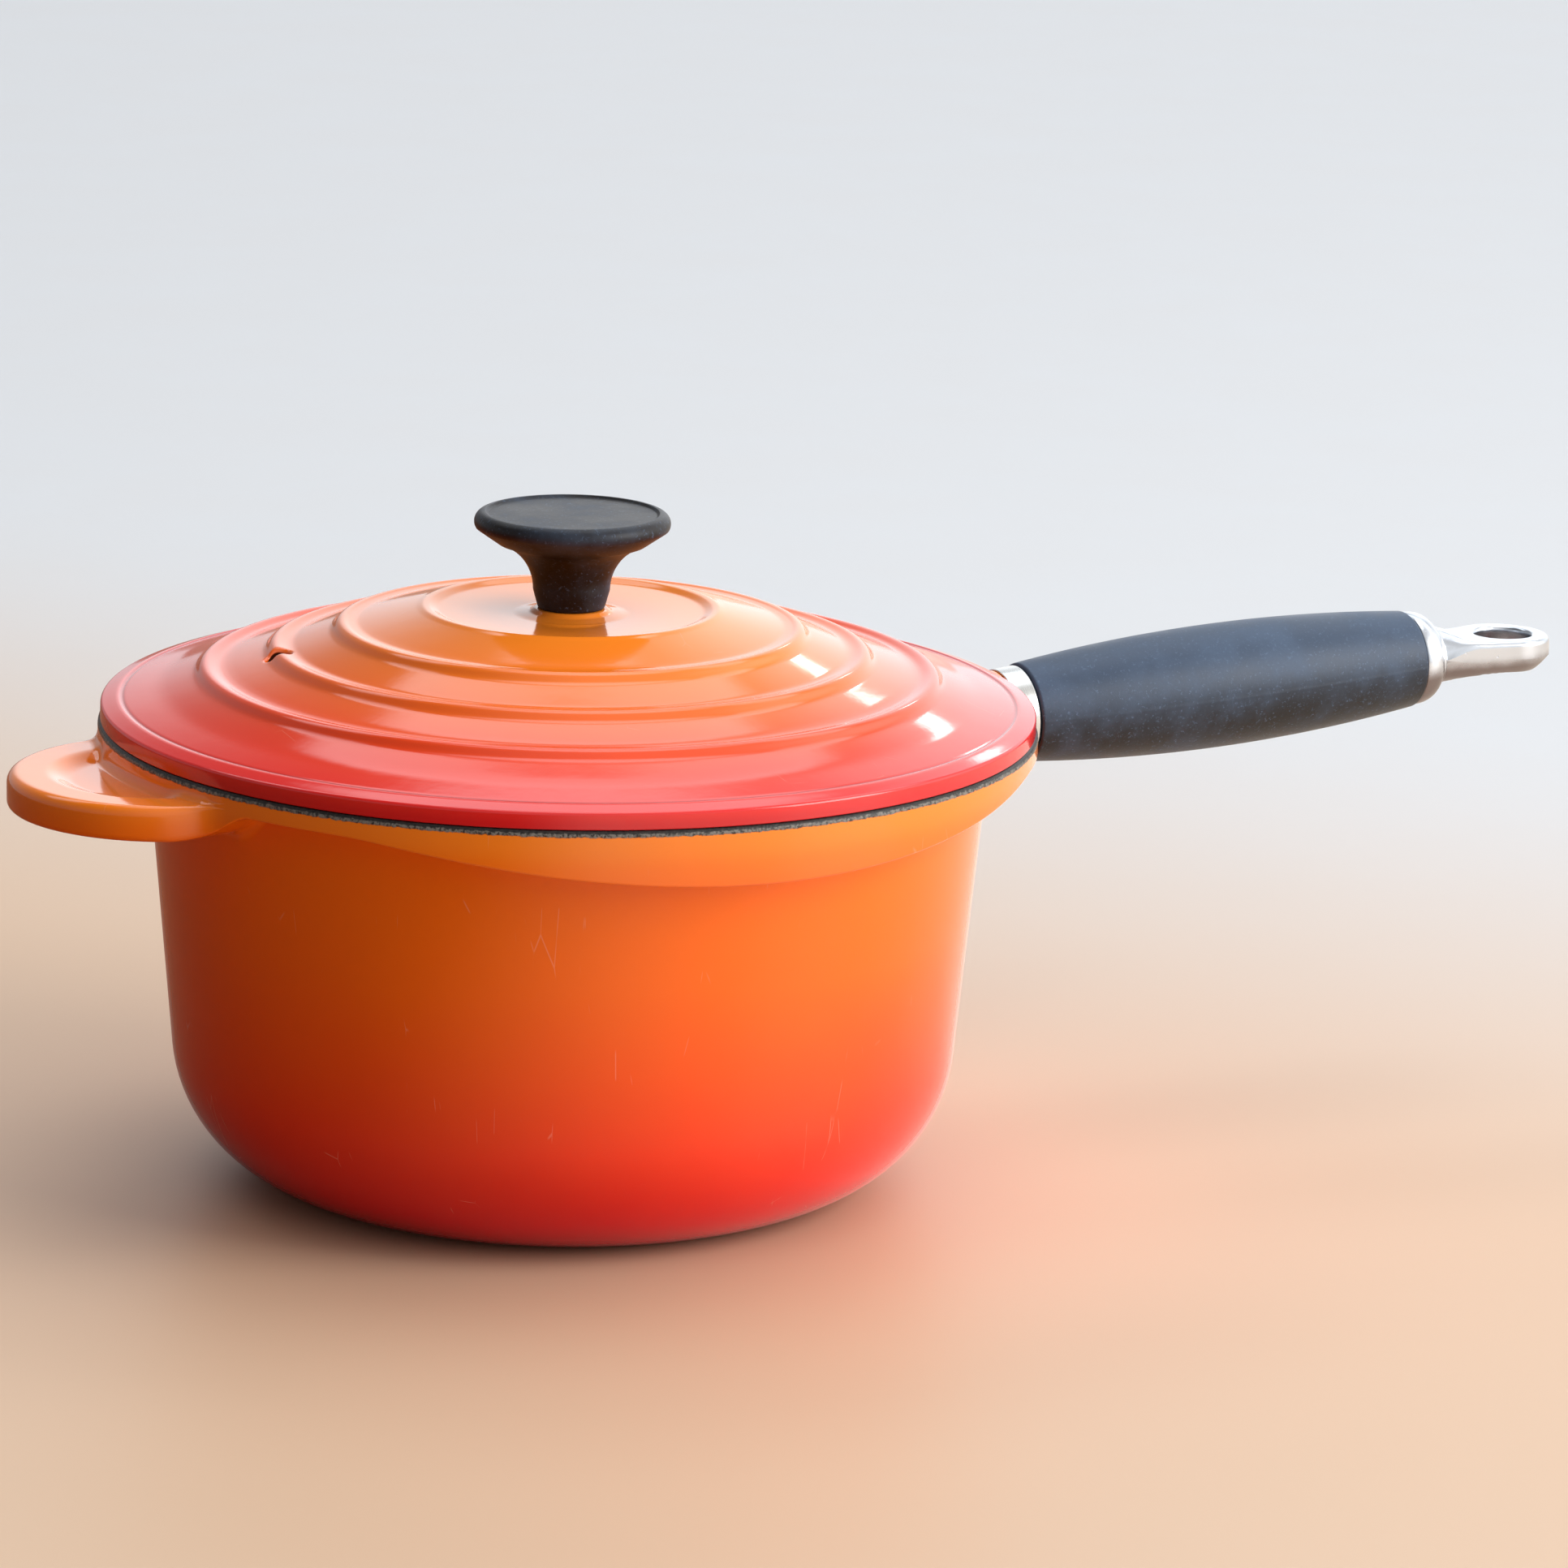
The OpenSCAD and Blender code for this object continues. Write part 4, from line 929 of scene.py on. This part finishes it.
# One closed grid: columns run round the hole, and rows run outwards over the upper face, down the side, back under
# the lower face and up the bore. Each face's height goes from the neck's half circle to the eye's flat with edges.
def hangingEye(v):
    turns = 168
    phi = np.linspace(0, 2 * math.pi, turns, endpoint=False)
    c, s = np.cos(phi), np.sin(phi)  # from the hole's axis, with the neck at c = -1
    lean = math.asin((v["radius"] - v["neck"]) / v["reach"])
    # plan outline: the eye's circle, the two flanks that touch it, and the line across the neck
    across = np.where(c < -1e-6, v["reach"] / np.maximum(-c, 1e-6), 1e6)
    touch = c < -math.sin(lean)
    flank = v["radius"] / np.maximum(np.abs(s) * math.cos(lean) - c * math.sin(lean), 1e-6)
    outer = np.where(touch, np.minimum(flank, across), v["radius"])
    e, h = v["edge"], v["holeEdge"]

    def halfWidth(x):
        return np.interp(x, [-v["reach"], -v["radius"] * math.sin(lean), 0],
                         [v["neck"], v["radius"] * math.cos(lean), v["radius"]])

    def face(rho, sign):  # height of the upper or the lower face at a distance from the hole's axis
        x, y = rho * c, rho * s
        blend = smooth((x + v["reach"]) / v["taper"])
        full = v["neck"] + blend * ((v["top"] if sign > 0 else v["under"]) - v["neck"])
        sideways = np.clip(np.abs(y) / halfWidth(np.minimum(x, 0)), 0, 1)
        roundNeck = full * np.sqrt(1 - sideways ** 2)
        edge = np.clip(1 - (outer - rho) / (e if sign > 0 else v["bevel"]), 0, 1)
        if sign > 0:
            drop = e * (1 - np.sqrt(1 - edge ** 2))
        else:
            drop = v["bevel"] * edge ** 1.3
        inner = np.clip(1 - (rho - v["hole"]) / h, 0, 1)
        flatEye = full - drop - h * (1 - np.sqrt(1 - inner ** 2))
        return x, y, sign * (roundNeck + blend * (flatEye - roundNeck))
    share = 0.5 - 0.5 * np.cos(math.pi * np.linspace(0, 1, 15)[:, None])  # rows lie closer at both edges
    rho = v["hole"] + (outer - v["hole"]) * share
    upper, lower = paired(*face(rho, 1)), paired(*face(rho, -1))[::-1]
    side = (lower[:1] - upper[-1:]) * np.array([0.12, 0.5, 0.88])[:, None, None] + upper[-1:]
    bore = (upper[:1] - lower[-1:]) * np.array([0.1, 0.5, 0.9])[:, None, None] + lower[-1:]
    grid = np.concatenate([upper, side, lower, bore])
    grid[..., 2] -= v["droop"] * smooth((grid[..., 0] - v["droopFrom"]) / v["droopLength"]) ** 1.5  # hangs a little
    x, y, z = grid.reshape(-1, 3).T
    addPiece("hangingEye", onHandle(paired(-z, y, x + v["middle"])), gridQuads(len(grid), turns, True), body="pot",
             replaces=("hanging_eye",), slot="eye_aluminium")


hangingEye(eye)


# screw, washer, insert and rod keep their solids and get their finishes

for name, slot in (("tie_rod", "rod_steel"), ("knob_insert", "insert_brass"), ("knob_screw", "screw_steel"),
                   ("knob_washer", "screw_steel")):
    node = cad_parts[name]
    node.data.materials.clear()
    node.data.materials.append(finishes[slot])
print("small parts finished")


# floor and light
studio = {"near": linear(210, 180, 152), "far": linear(209, 212, 216), "fade": (0.08, 0.66), "roughness": 0.5,
          "halfFloor": 6,
          # the floor as the pan mirrors it: dim on the left, lit on the right, and where it changes, in metres
          "dim": linear(140, 80, 40), "lit": linear(245, 228, 210), "turnOver": (-0.15, 0.12),
          "backdrop": linear(230, 234, 238), "ambient": 0.1,
          "mirrored": 0.42, "mirroredUp": (0.85, 0.2),  # the backdrop as the pan mirrors it, and how far up it reaches
          # round lobes of light: turn from the camera's side to its right, height, full and zero angle, level, tint
          "lobes": [(160, 78, 5, 24, 2.5, (0.95, 0.99, 1.05)), (164, 14, 10, 34, 1.25, (0.95, 0.99, 1.04)),
                    (58, 36, 20, 80, 0.8, (1.0, 0.98, 0.95)), (100, 12, 8, 50, 1.05, (1.0, 0.98, 0.95))],
          # wide panels: turn, half turn, soft turn, height, half height, soft height, level, tint
          "panels": [(178, 40, 40, 49.5, 5, 5, 2.0, (0.94, 0.99, 1.04)), (163, 1.3, 1.2, 24, 1.5, 1.2, 7, (1, 1, 1))]}


def viewAxes(parts):  # right of and away from the camera, from the pan's own x and y
    x, y, z = parts
    turn = math.radians(cameraSetting["turn"])
    return x * math.cos(turn) - y * math.sin(turn), x * math.sin(turn) + y * math.cos(turn), z


def addFloor(v):  # plain, from the warm near part to the pale far one
    f = Finish("floorPale", **{"Specular IOR Level": 0.3})
    right, away = viewAxes(f.axes())[:2]
    colour = ((away + right * 0.6) * mm).step(*v["fade"]).mix(v["near"], v["far"])
    colour = (f.noise(60, 3, 0.5) * 0.08).mix(colour, darker(v["near"], 0.9))
    mirrored = (right * mm).step(*v["turnOver"]).mix(v["dim"], v["lit"])
    seen = f.start.node("ShaderNodeLightPath", out="Is Camera Ray")
    f.put("Base Color", seen.mix(mirrored, colour))
    f.put("Roughness", v["roughness"])
    mesh = bpy.data.meshes.new("floor")
    h = v["halfFloor"]
    mesh.from_pydata([(-h, -h, 0), (h, -h, 0), (h, h, 0), (-h, h, 0)], [], [(0, 1, 2, 3)])
    mesh.materials.append(f.material)
    floor = bpy.data.objects.new("floor", mesh)
    bpy.context.scene.collection.objects.link(floor)


def addWorld(v):  # pale for the camera; for the object, a dim room with soft lobes of light
    world = bpy.data.worlds.new("studio")
    bpy.context.scene.world = world
    world.use_nodes = True
    tree = world.node_tree
    tree.nodes.clear()
    start = Wire(tree, None)
    right, back, up = viewAxes(start.node("ShaderNodeTexCoord", out="Generated").split())
    flat = (right * right + back * back) ** 0.5
    total = [v["ambient"]] * 3
    for turn, height, full, zero, level, tint in v["lobes"]:
        a, b = math.radians(turn), math.radians(height)
        facing = right * (math.sin(a) * math.cos(b)) - back * (math.cos(a) * math.cos(b)) + up * math.sin(b)
        lobe = facing.step(math.cos(math.radians(zero)), math.cos(math.radians(full)), 0.0, level)
        total = [lobe * share + sofar for share, sofar in zip(tint, total)]
    for turn, half, soft, height, tall, softTall, level, tint in v["panels"]:
        a = math.radians(turn)
        facing = (right * math.sin(a) - back * math.cos(a)) / flat
        beside = facing.step(math.cos(math.radians(half + soft)), math.cos(math.radians(half)))
        ends = [math.sin(math.radians(height + d)) for d in (-tall - softTall, -tall, tall, tall + softTall)]
        panel = beside * up.step(ends[0], ends[1]) * up.step(ends[3], ends[2], 0.0, level)
        total = [panel * share + sofar for share, sofar in zip(tint, total)]
    seen, glossy, through = [start.node("ShaderNodeLightPath", out="Is %s Ray" % kind)
                             for kind in ("Camera", "Glossy", "Transmission")]
    pale = (glossy + through) * up.step(*v["mirroredUp"], 0.0, v["mirrored"])  # metal and enamel show the backdrop too
    total = [pale * share + sofar for share, sofar in zip(v["backdrop"], total)]
    light = start.node("ShaderNodeCombineXYZ", {}, dict(zip("XYZ", total)))
    background = start.node("ShaderNodeBackground", {}, {"Color": seen.mix(light, v["backdrop"]), "Strength": 1.0})
    tree.links.new(background.socket, tree.nodes.new("ShaderNodeOutputWorld").inputs[0])


def around(turn, distance, height):  # a place given by its turn from the camera's side to its right
    a = math.radians(turn - 90 - cameraSetting["turn"])
    return (distance * math.cos(a), distance * math.sin(a), height)


lamps = {  # place, point it faces, width and height in metres, watts, colour
    "rightWindow": (around(68, 1.9, 0.95), (0, 0, 0.05), (1.1, 1.3), 28, (1.0, 0.99, 0.97)),
}


def addLamp(name, place, aim, size, watts, colour):
    data = bpy.data.lights.new(name, "AREA")
    data.energy, data.color = watts, colour
    data.shape, data.size, data.size_y = "RECTANGLE", size[0], size[1]
    lamp = bpy.data.objects.new(name, data)
    bpy.context.scene.collection.objects.link(lamp)
    place, aim = np.array(place, float), np.array(aim, float)
    back = (place - aim) / np.linalg.norm(place - aim)
    side = np.cross([0, 0, 1], back)
    side /= np.linalg.norm(side)
    m = np.eye(4)
    m[:3, :3] = np.stack([side, np.cross(back, side), back], axis=1)
    m[:3, 3] = place
    lamp.matrix_world = Matrix(m.tolist())
    lamp.visible_camera = False


addFloor(studio)
addWorld(studio)
for name, facts in lamps.items():
    addLamp(name, *facts)
bpy.context.scene.view_settings.view_transform = "Standard"
print("floor and lights placed")
